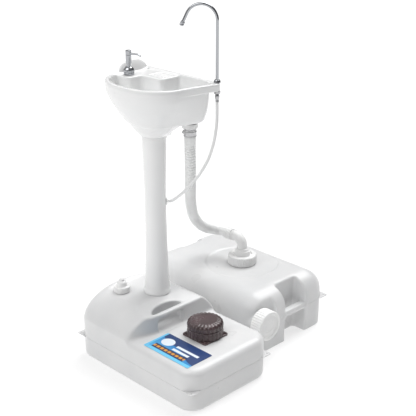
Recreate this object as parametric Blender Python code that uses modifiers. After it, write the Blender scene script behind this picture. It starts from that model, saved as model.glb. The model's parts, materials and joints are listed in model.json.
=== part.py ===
"""Portable handwash sink: a fresh-water base tank with a foot pump, a pedestal, a basin with a
gooseneck faucet and a soap pump, and a separate waste-water tank joined to the basin by a drain hose.

Units are metres and +Z is up. The origin is on the floor, on the pedestal's axis. +X is the user's
right and +Y is away from the user.
"""
import math

import bmesh
import bpy
from mathutils import Matrix, Vector

# ---------------------------------------------------------------- driving dimensions
GAP = 0.0003                      # clearance between pieces that touch
WALL = 0.003                      # blow-moulded wall
SMOOTH_ANGLE = math.radians(32)

FRESH_X = (-0.141, 0.315)
FRESH_Y = (-0.174, 0.120)
FRESH_CORNER = 0.048
LOW_TOP = 0.120                   # deck that carries the foot pump
PLATFORM = 0.181                  # deck that carries the pedestal
STEP_X = 0.100                    # face of the step between the two decks
FRESH_PARTING = 0.062

HANDLE_Y = (-0.091, 0.012)        # grip cut into the step
HANDLE_SLOT_X = (0.060, 0.084)
HANDLE_FLOOR = 0.122
HANDLE_BAR_Z = 0.157

FILL_AT = (-0.066, -0.071)
FILL_NECK_TOP = PLATFORM + 0.0125
PUMP_AT = (0.1915, -0.004)
PUMP_HALF = 0.044
PUMP_SCREW = 0.037
BELLOWS_R = 0.0485
BELLOWS_TOP = 0.147
PUMP_TOP = 0.167
LABEL_X = (0.117, 0.282)
LABEL_Y = (-0.156, -0.068)

HOSE_HOLE_Z = 0.445
HOSE_HOLE_ANGLE = math.radians(45)
PEDESTAL_R = 0.0285               # outer radius where the hose goes in
SUPPLY_R = 0.004

RIM_TOP = 0.770
LEDGE_BOTTOM = 0.749
DECK_TOP = 0.767
BOWL_FLOOR = 0.676
HUB_BOTTOM = 0.630
SOCKET_R = 0.0313
SOCKET_TOP = 0.655
DRAIN_AT = (0.072, 0.060)
DRAIN_SEAT = 0.6655
SOAP_AT = (-0.108, 0.013)
SOAP_SPOUT_ANGLE = math.radians(15)
FAUCET_AT = (0.126, 0.104)
FAUCET_BEND = 0.0427
FAUCET_ARCH_Z = 0.923
FAUCET_ANGLE = math.radians(218)  # from the base towards the bowl

WASTE_X = (-0.240, 0.228)
WASTE_Y = (0.153, 0.467)
WASTE_CORNER = 0.055
WASTE_TOP = 0.166
WASTE_PARTING = 0.083
WASTE_HANDLE_Y = (0.280, 0.368)
WASTE_HANDLE_DEPTH = 0.046
WASTE_BAR_Z = (0.074, 0.094)
WASTE_BAR_DEPTH = 0.022
WASTE_CAP_AT = (0.012, 0.329)
WASTE_DISC_R = 0.108
ELBOW_Z = 0.241
DRAIN_CAP_AT = (0.190, 0.091)     # y and z of the drain cap's axis
DRAIN_WALL_X = 0.212
DRAIN_HOSE_R = 0.0155

# Routes of the two free hoses, chosen by hand.
SUPPLY_ROUTE = [
    (0.1260, 0.1040, 0.7213), (0.1260, 0.1040, 0.7120), (0.1268, 0.1028, 0.6740), (0.1258, 0.1003, 0.6460),
    (0.1215, 0.0950, 0.6080), (0.1115, 0.0855, 0.5660), (0.0940, 0.0700, 0.5240), (0.0740, 0.0535, 0.4920),
    (0.0555, 0.0425, 0.4690), (0.0420, 0.0350, 0.4555), (0.0335, 0.0320, 0.4480), (0.0275, 0.0275, 0.4453),
    (0.0235, 0.0235, 0.4450),
]
DRAIN_ROUTE = [
    (0.0720, 0.0600, 0.6259), (0.0720, 0.0600, 0.6150), (0.0715, 0.0605, 0.5850), (0.0690, 0.0640, 0.5450), (0.0560, 0.0760, 0.4900),
    (0.0300, 0.1000, 0.4400), (-0.0060, 0.1380, 0.3870), (-0.0430, 0.1830, 0.3370), (-0.0730, 0.2320, 0.2920),
    (-0.0900, 0.2760, 0.2610), (-0.0880, 0.3100, 0.2455), (-0.0780, 0.3250, 0.2416), (-0.0640, 0.3290, 0.2410),
    (-0.0558, 0.3290, 0.2410),
]
RISER_ROUTE = [
    (0.0160, 0.0160, 0.4450), (0.0120, 0.0120, 0.4450), (0.0040, 0.0040, 0.4380), (0.0008, 0.0008, 0.4240),
    (0.0000, 0.0000, 0.4000), (0.0000, 0.0000, 0.3000), (0.0000, 0.0000, 0.2000), (0.0030, 0.0000, 0.1600),
    (0.0180, -0.0010, 0.1280), (0.0450, -0.0030, 0.1080), (0.0900, -0.0040, 0.1010), (0.1350, -0.0040, 0.1000), (0.1448, -0.0040, 0.1000),
]

# Outlines of the basin, top to bottom: height, half width and depth of the square back, half axes
# of the round front, the centre of that front, and the back corners' radius.
BASIN_OUTSIDE = [
    (RIM_TOP, 0.1365, 0.1075, 0.1235, 0.0855, -0.012, -0.010, 0.010),
    (0.7675, 0.139, 0.110, 0.126, 0.088, -0.012, -0.010, 0.012),
    (LEDGE_BOTTOM, 0.139, 0.110, 0.125, 0.087, -0.012, -0.010, 0.012),
    (0.7486, 0.128, 0.105, 0.124, 0.086, -0.012, -0.010, 0.042),
    (0.714, 0.127, 0.104, 0.113, 0.078, -0.011, -0.009, 0.042),
    (0.690, 0.124, 0.102, 0.098, 0.067, -0.009, -0.007, 0.040),
    (0.672, 0.116, 0.096, 0.082, 0.055, -0.006, -0.004, 0.034),
    (0.664, 0.104, 0.088, 0.074, 0.050, -0.004, -0.003, 0.034),
    (0.6632, 0.072, 0.062, 0.068, 0.047, -0.003, -0.002, 0.034),
    (0.654, 0.056, 0.050, 0.054, 0.042, -0.001, 0.000, 0.034),
    (0.643, 0.042, 0.041, 0.044, 0.038, 0.000, 0.000, 0.034),
    (HUB_BOTTOM, 0.036, 0.036, 0.036, 0.036, 0.000, 0.000, 0.0355),
]
BASIN_INSIDE = [
    (0.790, 0.128, 0.099, 0.115, 0.077, -0.012, -0.010, 0.034),
    (0.768, 0.128, 0.099, 0.115, 0.077, -0.012, -0.010, 0.034),
    (0.745, 0.122, 0.096, 0.111, 0.074, -0.012, -0.010, 0.034),
    (0.715, 0.118, 0.094, 0.101, 0.067, -0.011, -0.009, 0.034),
    (0.696, 0.112, 0.090, 0.088, 0.057, -0.009, -0.007, 0.034),
    (0.683, 0.102, 0.082, 0.073, 0.046, -0.006, -0.004, 0.034),
    (BOWL_FLOOR, 0.086, 0.070, 0.055, 0.034, -0.003, -0.002, 0.032),
]
# The soap deck's edge in plan, from the left rim round to the back wall.
DECK_EDGE = [(-0.098, -0.016), (-0.082, -0.002), (-0.076, 0.030), (-0.020, 0.030), (-0.006, 0.044)]

WHITE = (0.86, 0.86, 0.85)


# ---------------------------------------------------------------- scene and materials
def clear_scene():
    for item in list(bpy.data.objects):
        bpy.data.objects.remove(item, do_unlink=True)


def new_collection(name):
    group = bpy.data.collections.new(name)
    bpy.context.scene.collection.children.link(group)
    return group


def material(name, colour, roughness, metallic=0.0):
    finish = bpy.data.materials.get(name) or bpy.data.materials.new(name)
    finish.use_nodes = True
    shader = finish.node_tree.nodes["Principled BSDF"]
    shader.inputs["Base Color"].default_value = (*colour, 1.0)
    shader.inputs["Roughness"].default_value = roughness
    shader.inputs["Metallic"].default_value = metallic
    return finish


clear_scene()
PARTS = new_collection("portable_handwash_sink")
CUTTERS = new_collection("cutters")

FINISHES = {
    "tank": material("tank_white", WHITE, 0.35),
    "cap": material("cap_white", (0.88, 0.88, 0.87), 0.4),
    "basin": material("basin_white", (0.88, 0.88, 0.88), 0.25),
    "hose": material("hose_white", (0.84, 0.85, 0.84), 0.45),
    "chrome": material("chrome", (0.75, 0.76, 0.78), 0.08, 1.0),
    "steel": material("steel", (0.55, 0.55, 0.56), 0.3, 1.0),
    "pump": material("pump_rubber", (0.055, 0.035, 0.033), 0.35),
    "rubber": material("seal_rubber", (0.03, 0.03, 0.03), 0.7),
    "clear": material("bottle_plastic", (0.7, 0.72, 0.72), 0.3),
    "label": material("label_film", (0.02, 0.12, 0.35), 0.3),
}


# ---------------------------------------------------------------- modelling tools
def add_object(name, mesh):
    item = bpy.data.objects.new(name, mesh)
    CUTTERS.objects.link(item)
    return item


def from_bmesh(name, shape):
    mesh = bpy.data.meshes.new(name)
    shape.to_mesh(mesh)
    shape.free()
    return add_object(name, mesh)


def block(name, low, high):
    """A box between two corners."""
    size = [b - a for a, b in zip(low, high)]
    centre = [(a + b) / 2 for a, b in zip(low, high)]
    shape = bmesh.new()
    bmesh.ops.create_cube(shape, size=1.0)
    bmesh.ops.scale(shape, vec=size, verts=shape.verts)
    bmesh.ops.translate(shape, vec=centre, verts=shape.verts)
    return from_bmesh(name, shape)


def cylinder(name, start, end, radius, sides=24):
    """A round bar from one point to another."""
    along = Vector(end) - Vector(start)
    shape = bmesh.new()
    bmesh.ops.create_cone(shape, cap_ends=True, segments=sides, radius1=radius, radius2=radius, depth=along.length)
    turn = along.to_track_quat("Z", "Y").to_matrix().to_4x4()
    middle = Matrix.Translation((Vector(start) + Vector(end)) / 2)
    bmesh.ops.transform(shape, matrix=middle @ turn, verts=shape.verts)
    return from_bmesh(name, shape)


def upright(name, at, low, high, radius, sides=24):
    return cylinder(name, (*at, low), (*at, high), radius, sides)


def turned(name, profile, at=(0.0, 0.0, 0.0), axis="Z", ring=False, steps=24):
    """A profile of (radius, height) points, outer side from top to bottom, turned about an axis.

    A ring's profile is closed; a solid's starts and ends on the axis.
    """
    shape = bmesh.new()
    points = [shape.verts.new((radius, 0.0, height)) for radius, height in profile]
    for first, second in zip(points, points[1:]):
        shape.edges.new((first, second))
    if ring:
        shape.edges.new((points[-1], points[0]))
    item = from_bmesh(name, shape)
    screw = item.modifiers.new("turn", "SCREW")
    screw.steps = steps
    screw.render_steps = steps
    screw.use_merge_vertices = True
    screw.merge_threshold = 0.00001
    item.location = at
    if axis == "X":
        item.rotation_euler = (0.0, math.pi / 2, 0.0)
    return item


def loft(name, rings):
    """A closed solid through level outlines that have the same number of points, lowest first."""
    shape = bmesh.new()
    loops = [[shape.verts.new(point) for point in ring] for ring in rings]
    count = len(loops[0])
    for lower, upper in zip(loops, loops[1:]):
        for index in range(count):
            after = (index + 1) % count
            shape.faces.new((lower[index], lower[after], upper[after], upper[index]))
    shape.faces.new(list(reversed(loops[0])))
    shape.faces.new(loops[-1])
    return from_bmesh(name, shape)


def prism(name, outline, low, high):
    """An upright solid on a counter-clockwise outline."""
    return loft(name, [[(x, y, z) for x, y in outline] for z in (low, high)])


def corner_arc(centre, radius, start, steps):
    """Points of a quarter circle that starts at an angle given in quarter turns."""
    angles = [(start + index / steps) * math.pi / 2 for index in range(steps + 1)]
    return [(centre[0] + radius * math.cos(a), centre[1] + radius * math.sin(a)) for a in angles]


def rounded_outline(x_range, y_range, radius, steps=4):
    """A rectangle with round corners, counter-clockwise."""
    x0, x1 = x_range[0] + radius, x_range[1] - radius
    y0, y1 = y_range[0] + radius, y_range[1] - radius
    corners = [((x1, y1), 0), ((x0, y1), 1), ((x0, y0), 2), ((x1, y0), 3)]
    return [point for centre, start in corners for point in corner_arc(centre, radius, start, steps)]


def rounded_block(name, x_range, y_range, levels, corner, shrink=0.0):
    """A moulded block. Each level is a height and how far its left, right, front and back stand in.

    A positive shrink gives the space inside a wall of that thickness.
    """
    low, high = levels[0][0], levels[-1][0]
    rings = []
    for height, *insets in levels:
        left, right, front, back = insets * 4 if len(insets) == 1 else insets
        x = (x_range[0] + left + shrink, x_range[1] - right - shrink)
        y = (y_range[0] + front + shrink, y_range[1] - back - shrink)
        radius = max(corner - min(left, right, front, back) * 0.5 - shrink, 0.012)
        z = low + shrink + (height - low) * (high - low - 2 * shrink) / (high - low)
        rings.append([(px, py, z) for px, py in rounded_outline(x, y, radius)])
    return loft(name, rings)


def smooth_path(route, spacing):
    """Points at even steps along a Catmull-Rom curve through the route."""
    route = [Vector(point) for point in route]
    route = [2 * route[0] - route[1], *route, 2 * route[-1] - route[-2]]
    fine = []
    for p0, p1, p2, p3 in zip(route, route[1:], route[2:], route[3:]):
        for step in range(16):
            t = step / 16
            fine.append(0.5 * (2 * p1 + (p2 - p0) * t + (2 * p0 - 5 * p1 + 4 * p2 - p3) * t * t
                               + (3 * p1 - p0 - 3 * p2 + p3) * t ** 3))
    fine.append(route[-2])
    lengths = [0.0]
    for first, second in zip(fine, fine[1:]):
        lengths.append(lengths[-1] + (second - first).length)
    count = max(2, round(lengths[-1] / spacing))
    path, index = [fine[0]], 0
    for step in range(1, count):
        target = lengths[-1] * step / count
        while lengths[index + 1] < target:
            index += 1
        part = (target - lengths[index]) / (lengths[index + 1] - lengths[index])
        path.append(fine[index].lerp(fine[index + 1], part))
    return [*path, fine[-1]]


def hose_path(route, spacing):
    """A smooth path whose first and last stretches run straight into their fittings."""
    return [Vector(route[0]), *smooth_path(route[1:-1], spacing), Vector(route[-1])]


def pipe(name, points, radius, resolution=2, widths=None):
    """A round bar along points. Widths, where given, scale the radius at each point."""
    curve = bpy.data.curves.new(name, "CURVE")
    curve.dimensions = "3D"
    curve.bevel_depth = radius
    curve.bevel_resolution = resolution
    curve.use_fill_caps = True
    spline = curve.splines.new("POLY")
    spline.points.add(len(points) - 1)
    for index, point in enumerate(points):
        spline.points[index].co = (*point, 1.0)
        spline.points[index].radius = widths[index] if widths else 1.0
    return add_object(name, curve)


def boolean(item, others, operation):
    for other in others:
        change = item.modifiers.new(f"{operation.lower()}_{other.name}", "BOOLEAN")
        change.operation = operation
        change.solver = "EXACT"
        change.object = other
        other.hide_render = True
        other.display_type = "WIRE"
    return item


def cut(item, *others):
    return boolean(item, others, "DIFFERENCE")


def join(item, *others):
    return boolean(item, others, "UNION")


def part(item, name, finish):
    """Names a finished piece, moves it to the object's collection and gives it its material."""
    item.name = name
    item.data.name = name
    CUTTERS.objects.unlink(item)
    PARTS.objects.link(item)
    item.data.materials.clear()
    item.data.materials.append(FINISHES[finish])
    if item.type == "MESH":
        item.data.shade_smooth()
        item.data.set_sharp_from_angle(angle=SMOOTH_ANGLE)
    return item


def turn_about(pivot_name, point, *items):
    """Parents pieces to an empty on the axis that they turn about, without moving them."""
    pivot = bpy.data.objects.new(pivot_name, None)
    pivot.location = point
    PARTS.objects.link(pivot)
    for item in items:
        item.parent = pivot
        item.matrix_parent_inverse = Matrix.Translation(-Vector(point))


# ---------------------------------------------------------------- fresh-water tank
def fresh_handle(grow):
    """The finger slot, half moon in plan, and the recess in the step's face in front of it."""
    y_middle = sum(HANDLE_Y) / 2
    half = (HANDLE_Y[1] - HANDLE_Y[0]) / 2 + grow
    reach = HANDLE_SLOT_X[1] - HANDLE_SLOT_X[0] + grow
    moon = [(HANDLE_SLOT_X[1] + grow, y_middle - half), (HANDLE_SLOT_X[1] + grow, y_middle + half)]
    for step in range(11):
        angle = math.pi * step / 10
        moon.append((HANDLE_SLOT_X[1] - reach * math.sin(angle), y_middle + half * math.cos(angle)))
    slot = prism(f"handle_slot_{grow}", moon, HANDLE_FLOOR - grow, 0.250)
    face_y = (HANDLE_Y[0] + 0.006 - grow, HANDLE_Y[1] - 0.006 + grow)
    recess = block(f"handle_recess_{grow}", (HANDLE_SLOT_X[1] - 0.001 - grow, face_y[0], HANDLE_FLOOR - grow),
                   (0.150, face_y[1], HANDLE_BAR_Z + grow))
    return slot, recess


def fresh_body(shrink):
    """The tank's outside, or with a shrink its inside: a low body joined to the raised end."""
    low = [(0.000, 0.015), (0.003, 0.006), (0.009, 0.0015), (0.018, 0.0), (0.100, 0.0), (0.109, 0.0025),
           (0.116, 0.009), (0.1193, 0.018), (LOW_TOP, 0.026)]
    raised = [(0.058, 0.0006), (0.104, 0.0006), (0.125, 0.001, 0.001, 0.004, 0.006),
              (0.145, 0.002, 0.001, 0.014, 0.018), (0.160, 0.005, 0.002, 0.032, 0.031),
              (0.171, 0.011, 0.006, 0.052, 0.046), (0.178, 0.018, 0.013, 0.070, 0.058),
              (0.184, 0.026, 0.026, 0.086, 0.070), (0.1875, 0.036, 0.040, 0.100, 0.084)]
    body = rounded_block(f"fresh_low_{shrink}", FRESH_X, FRESH_Y, low, FRESH_CORNER, shrink)
    top = rounded_block(f"fresh_raised_{shrink}", (FRESH_X[0], STEP_X), FRESH_Y, raised, FRESH_CORNER, shrink)
    pocket = loft(f"platform_pocket_{shrink}", [
        rounded_ring((-0.100 - shrink, 0.200), (-0.300, 0.300), 0.02, PLATFORM - shrink),
        rounded_ring((-0.108 - shrink, 0.200), (-0.300, 0.300), 0.02, 0.250)])
    join(body, top)
    cut(body, pocket, *fresh_handle(shrink))
    return body


def rounded_ring(x_range, y_range, radius, height):
    return [(x, y, height) for x, y in rounded_outline(x_range, y_range, radius)]


def parting_ears(name, x_range, y_range, height, corners):
    """A thin triangular ear with a hole at each of these corners of a tank, on its parting line."""
    outline = [(-0.040, 0.005), (-0.007, 0.0008), (-0.0008, 0.007), (-0.005, 0.040), (-0.020, 0.020)]
    ears = []
    for index, (x_side, y_side) in enumerate(corners):
        x_corner = x_range[1] if x_side > 0 else x_range[0]
        y_corner = y_range[1] if y_side > 0 else y_range[0]
        points = [(x_corner + x_side * dx, y_corner - y_side * dy) for dx, dy in outline]
        if x_side * y_side > 0:
            points.reverse()
        ear = prism(f"{name}_ear_{index}", points, height - 0.0015, height + 0.0015)
        hole_at = (x_corner - x_side * 0.0075, y_corner - y_side * 0.0075)
        ears.append(cut(ear, upright(f"{name}_ear_hole_{index}", hole_at, height - 0.01, height + 0.01, 0.0015, 10)))
    return ears


def make_fresh_tank():
    tank = fresh_body(0.0)
    join(tank, *parting_ears("fresh", FRESH_X, FRESH_Y, FRESH_PARTING, [(1, -1), (1, 1), (-1, 1), (-1, -1)]))
    cut(tank, fresh_body(WALL))
    join(tank, upright("fill_neck", FILL_AT, PLATFORM - 0.002, FILL_NECK_TOP, 0.017),
         upright("pedestal_boss", (0.0, 0.0), PLATFORM - 0.002, PLATFORM + 0.020, 0.022))
    cut(tank, upright("fill_bore", FILL_AT, PLATFORM - 0.010, 0.250, 0.0135),
        upright("boss_bore", (0.0, 0.0), PLATFORM - 0.010, 0.250, 0.017),
        upright("pump_hole", PUMP_AT, LOW_TOP - 0.010, LOW_TOP + 0.010, 0.034))
    for index, at in enumerate(pump_corners()):
        cut(tank, upright(f"pump_screw_hole_{index}", at, LOW_TOP - 0.010, LOW_TOP + 0.010, 0.0019, 10))
    part(tank, "fresh_tank", "tank")


def make_fill_cap():
    low = PLATFORM + 0.0005
    seat = FILL_NECK_TOP + GAP + 0.0015 + GAP
    cap = turned("fill_cap", [
        (0.0, 0.2215), (0.0045, 0.2208), (0.0070, 0.2180), (0.0078, 0.2130), (0.0110, 0.2112), (0.0135, 0.2075),
        (0.0150, 0.1985), (0.0215, 0.1980), (0.0230, 0.1965), (0.0230, low + 0.001), (0.0222, low),
        (0.0175, low), (0.0175, seat), (0.0, seat)], at=(*FILL_AT, 0.0))
    part(cap, "fill_cap", "cap")
    gasket = turned("fill_cap_gasket", [(0.0168, FILL_NECK_TOP + GAP + 0.0015), (0.0168, FILL_NECK_TOP + GAP),
                                        (0.0095, FILL_NECK_TOP + GAP), (0.0095, FILL_NECK_TOP + GAP + 0.0015)],
                    at=(*FILL_AT, 0.0), ring=True)
    part(gasket, "fill_cap_gasket", "rubber")


# ---------------------------------------------------------------- foot pump
def pump_corners():
    return [(PUMP_AT[0] + x * PUMP_SCREW, PUMP_AT[1] + y * PUMP_SCREW) for x, y in [(-1, -1), (1, -1), (1, 1), (-1, 1)]]


def coil(name, at, radius, low, high, wire, turns):
    """A coil spring: points at even steps round a helix."""
    points = []
    for step in range(turns * 10 + 1):
        angle = 2 * math.pi * step / 10
        height = low + (high - low) * step / (turns * 10)
        points.append((at[0] + radius * math.cos(angle), at[1] + radius * math.sin(angle), height))
    return pipe(name, points, wire, resolution=1)


def make_foot_pump():
    plate_low, plate_top = LOW_TOP + GAP, LOW_TOP + 0.0043
    x = (PUMP_AT[0] - PUMP_HALF, PUMP_AT[0] + PUMP_HALF)
    y = (PUMP_AT[1] - PUMP_HALF, PUMP_AT[1] + PUMP_HALF)
    plate = prism("pump_base", rounded_outline(x, y, 0.006, 3), plate_low, plate_top)
    cut(plate, upright("plate_hole", PUMP_AT, plate_low - 0.01, plate_top + 0.01, 0.029))
    for index, at in enumerate(pump_corners()):
        cut(plate, upright(f"plate_screw_hole_{index}", at, plate_low - 0.01, plate_top + 0.01, 0.0019, 10))
    part(plate, "pump_base", "pump")

    skirt_low = plate_top + GAP
    skirt = turned("pump_bellows", [(0.0472, BELLOWS_TOP), (BELLOWS_R, BELLOWS_TOP - 0.0015), (BELLOWS_R, skirt_low),
                                    (0.0440, skirt_low), (0.0440, BELLOWS_TOP)], at=(*PUMP_AT, 0.0), ring=True, steps=32)
    part(skirt, "pump_bellows", "pump")
    dome = turned("pump_dome", [
        (0.0, PUMP_TOP), (0.0370, PUMP_TOP), (0.0405, PUMP_TOP - 0.0012), (0.0470, PUMP_TOP - 0.0090),
        (BELLOWS_R, PUMP_TOP - 0.0140), (0.0472, BELLOWS_TOP + GAP), (0.0440, BELLOWS_TOP + GAP),
        (0.0435, PUMP_TOP - 0.0110), (0.0390, PUMP_TOP - 0.0050), (0.0, PUMP_TOP - 0.0035)],
        at=(*PUMP_AT, 0.0), steps=32)
    part(dome, "pump_dome", "pump")
    spring = coil("pump_spring", PUMP_AT, 0.0165, 0.0946, PUMP_TOP - 0.0053, 0.0011, 5)
    part(spring, "pump_spring", "steel")

    for index, at in enumerate(pump_corners()):
        head = plate_top + GAP
        screw = turned(f"pump_screw_{index + 1}", [(0.0, head + 0.0022), (0.0024, head + 0.0020), (0.0035, head + 0.0010),
                                                  (0.0035, head), (0.0016, head), (0.0016, 0.1130), (0.0, 0.1115)],
                       at=(*at, 0.0), steps=12)
        part(screw, f"pump_screw_{index + 1}", "pump")

    floor_low, floor_top, port_z = 0.088, 0.093, 0.100
    body = turned("pump_body", [(0.0335, LOW_TOP), (0.0335, floor_low), (0.0040, floor_low), (0.0040, floor_top),
                                (0.0295, floor_top), (0.0295, LOW_TOP)], at=(*PUMP_AT, 0.0), ring=True)
    start, end = (PUMP_AT[0] - 0.031, PUMP_AT[1], port_z), (PUMP_AT[0] - 0.0464, PUMP_AT[1], port_z)
    bore_start = (PUMP_AT[0] - 0.020, PUMP_AT[1], port_z)
    bore_end = (PUMP_AT[0] - 0.060, PUMP_AT[1], port_z)
    join(body, cylinder("outlet_barb", start, end, 0.0048, 16))
    cut(body, cylinder("outlet_bore", bore_start, bore_end, 0.0025, 12))
    part(body, "pump_body", "cap")
    inlet = upright("inlet_valve", PUMP_AT, floor_top + GAP, floor_top + 0.0018, 0.0105, 24)
    part(inlet, "inlet_valve", "rubber")
    outlet_x = PUMP_AT[0] - 0.0295
    outlet = cylinder("outlet_valve", (outlet_x + 0.0010, PUMP_AT[1], port_z), (outlet_x + 0.0025, PUMP_AT[1], port_z), 0.0052, 16)
    part(outlet, "outlet_valve", "rubber")
    tube = turned("suction_tube", [(0.0055, floor_low - GAP), (0.0055, 0.0140), (0.0035, 0.0140), (0.0035, floor_low - GAP)],
                  at=(*PUMP_AT, 0.0), ring=True, steps=16)
    part(tube, "suction_tube", "cap")
    strainer = turned("suction_strainer", [(0.0105, 0.0137), (0.0120, 0.0120), (0.0120, 0.0045), (0.0090, 0.0045),
                                           (0.0090, 0.0105), (0.0030, 0.0105), (0.0030, 0.0137)],
                      at=(*PUMP_AT, 0.0), ring=True, steps=20)
    part(strainer, "suction_strainer", "cap")


def make_label():
    label = prism("label_plate", rounded_outline(LABEL_X, LABEL_Y, 0.004, 3), LOW_TOP + GAP, LOW_TOP + 0.0008)
    part(label, "label_plate", "label")


# ---------------------------------------------------------------- pedestal and riser
def radial(distance, height):
    return (distance * math.cos(HOSE_HOLE_ANGLE), distance * math.sin(HOSE_HOLE_ANGLE), height)


def make_pedestal():
    foot = PLATFORM + GAP
    column = turned("pedestal", [
        (0.0310, 0.6545), (0.0310, HUB_BOTTOM - GAP), (0.0328, HUB_BOTTOM - GAP), (0.0322, 0.600),
        (0.0300, 0.530), (PEDESTAL_R, 0.470), (PEDESTAL_R, 0.400), (0.0300, 0.300), (0.0328, 0.220), (0.0345, 0.194),
        (0.0372, 0.1895), (0.0372, foot), (0.0245, foot), (0.0245, 0.205), (0.0240, 0.6545)],
        ring=True, steps=32)
    cut(column, cylinder("hose_hole", radial(0.015, HOSE_HOLE_Z), radial(0.050, HOSE_HOLE_Z), 0.0070, 16))
    part(column, "pedestal", "basin")

    grommet = cylinder("hose_grommet", radial(0.0234, HOSE_HOLE_Z), radial(0.0315, HOSE_HOLE_Z), 0.0066, 16)
    join(grommet, cylinder("grommet_lip", radial(PEDESTAL_R + 0.0006, HOSE_HOLE_Z), radial(0.0323, HOSE_HOLE_Z), 0.0098, 16))
    cut(grommet, cylinder("grommet_bore", radial(0.010, HOSE_HOLE_Z), radial(0.050, HOSE_HOLE_Z), 0.0040, 12))
    part(grommet, "hose_grommet", "hose")

    riser = pipe("riser_tube", hose_path(RISER_ROUTE, 0.022), SUPPLY_R)
    part(riser, "riser_tube", "hose")


# ---------------------------------------------------------------- basin
def basin_ring(level, shrink):
    """One outline: a half ellipse in front, straight sides, and a square back with round corners."""
    height, half_back, y_back, half_x, half_y, x_mid, y_mid, radius = level
    half_back, y_back, half_x, half_y = (value - shrink for value in (half_back, y_back, half_x, half_y))
    radius = max(radius - shrink, 0.006)
    points = []
    for step in range(17):
        angle = math.pi + math.pi * step / 16
        points.append((x_mid + half_x * math.cos(angle), y_mid + half_y * math.sin(angle)))
    right = (half_back - radius, y_back - radius)
    left = (-half_back + radius, y_back - radius)
    points.append(((x_mid + half_x + half_back) / 2, (y_mid + right[1]) / 2))
    points += corner_arc(right, radius, 0, 4)
    points += corner_arc(left, radius, 1, 4)
    points.append(((x_mid - half_x - half_back) / 2, (y_mid + left[1]) / 2))
    return [(x, y, height) for x, y in points]


def basin_solid(name, levels, shrink=0.0, lift=0.0):
    rings = [basin_ring(level, shrink) for level in reversed(levels)]
    return loft(name, [[(x, y, z + lift) for x, y, z in ring] for ring in rings])


def soap_deck(name, inset):
    """The solid corner of the basin under the soap pump and the tray, drawn in from its free edge."""
    points = [(-0.170, 0.150), (-0.170, DECK_EDGE[0][1] + inset)]
    for index, (x, y) in enumerate(DECK_EDGE):
        points.append((x - inset * (0.4, 0.9, 1.0, 0.5, 1.0)[index], y + inset * (1.0, 0.4, 1.0, 1.0, 0.4)[index]))
    points.append((DECK_EDGE[-1][0] - inset, 0.150))
    return prism(name, points, 0.600, DECK_TOP - inset)


def bowl_space(grow):
    bowl = basin_solid(f"bowl_{grow}", BASIN_INSIDE, -grow, -grow)
    return cut(bowl, soap_deck(f"soap_deck_{grow}", grow))


def make_basin():
    basin = basin_solid("basin", BASIN_OUTSIDE)
    shape = bmesh.new()
    bmesh.ops.create_uvsphere(shape, u_segments=20, v_segments=12, radius=1.0)
    bmesh.ops.scale(shape, vec=(0.0078, 0.050, 0.030), verts=shape.verts)
    bmesh.ops.translate(shape, vec=(-0.1310, 0.048, DECK_TOP), verts=shape.verts)
    hump = from_bmesh("raised_end", shape)
    hub_wall = upright("hub_wall", (0.0, 0.0), 0.600, SOCKET_TOP + WALL, SOCKET_R + 0.0072)
    hub_wall.rotation_euler.z = 0.07

    cut(basin, bowl_space(0.0), upright("drain_dish", DRAIN_AT, BOWL_FLOOR, 0.700, 0.0275))
    join(basin, hump)
    cavity = basin_solid("basin_cavity", BASIN_OUTSIDE, WALL, WALL)
    cut(cavity, block("cavity_top", (-0.3, -0.3, RIM_TOP - WALL), (0.3, 0.3, 0.9)),
        bowl_space(WALL),
        hub_wall,
        upright("drain_wall", DRAIN_AT, 0.600, 0.710, 0.0305),
        upright("faucet_wall", FAUCET_AT, 0.700, 0.800, 0.0125))
    cut(basin, upright("socket", (0.0, 0.0), 0.600, SOCKET_TOP, SOCKET_R),
        upright("hub_opening", (0.0, 0.0), 0.600, SOCKET_TOP + 0.008, 0.020),
        cavity,
        upright("drain_pocket", DRAIN_AT, 0.600, DRAIN_SEAT, 0.0245),
        upright("drain_hole", DRAIN_AT, 0.600, 0.700, 0.0168),
        upright("faucet_hole", FAUCET_AT, 0.700, 0.800, 0.0053, 20),
        upright("soap_hole", SOAP_AT, 0.760, 0.800, 0.0112, 24))
    for index in range(3):
        y = 0.050 + 0.014 * index
        cut(basin, block(f"tray_groove_{index}", (-0.066, y, DECK_TOP - 0.0018), (-0.020, y + 0.006, 0.780)))
    part(basin, "basin", "basin")


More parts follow.
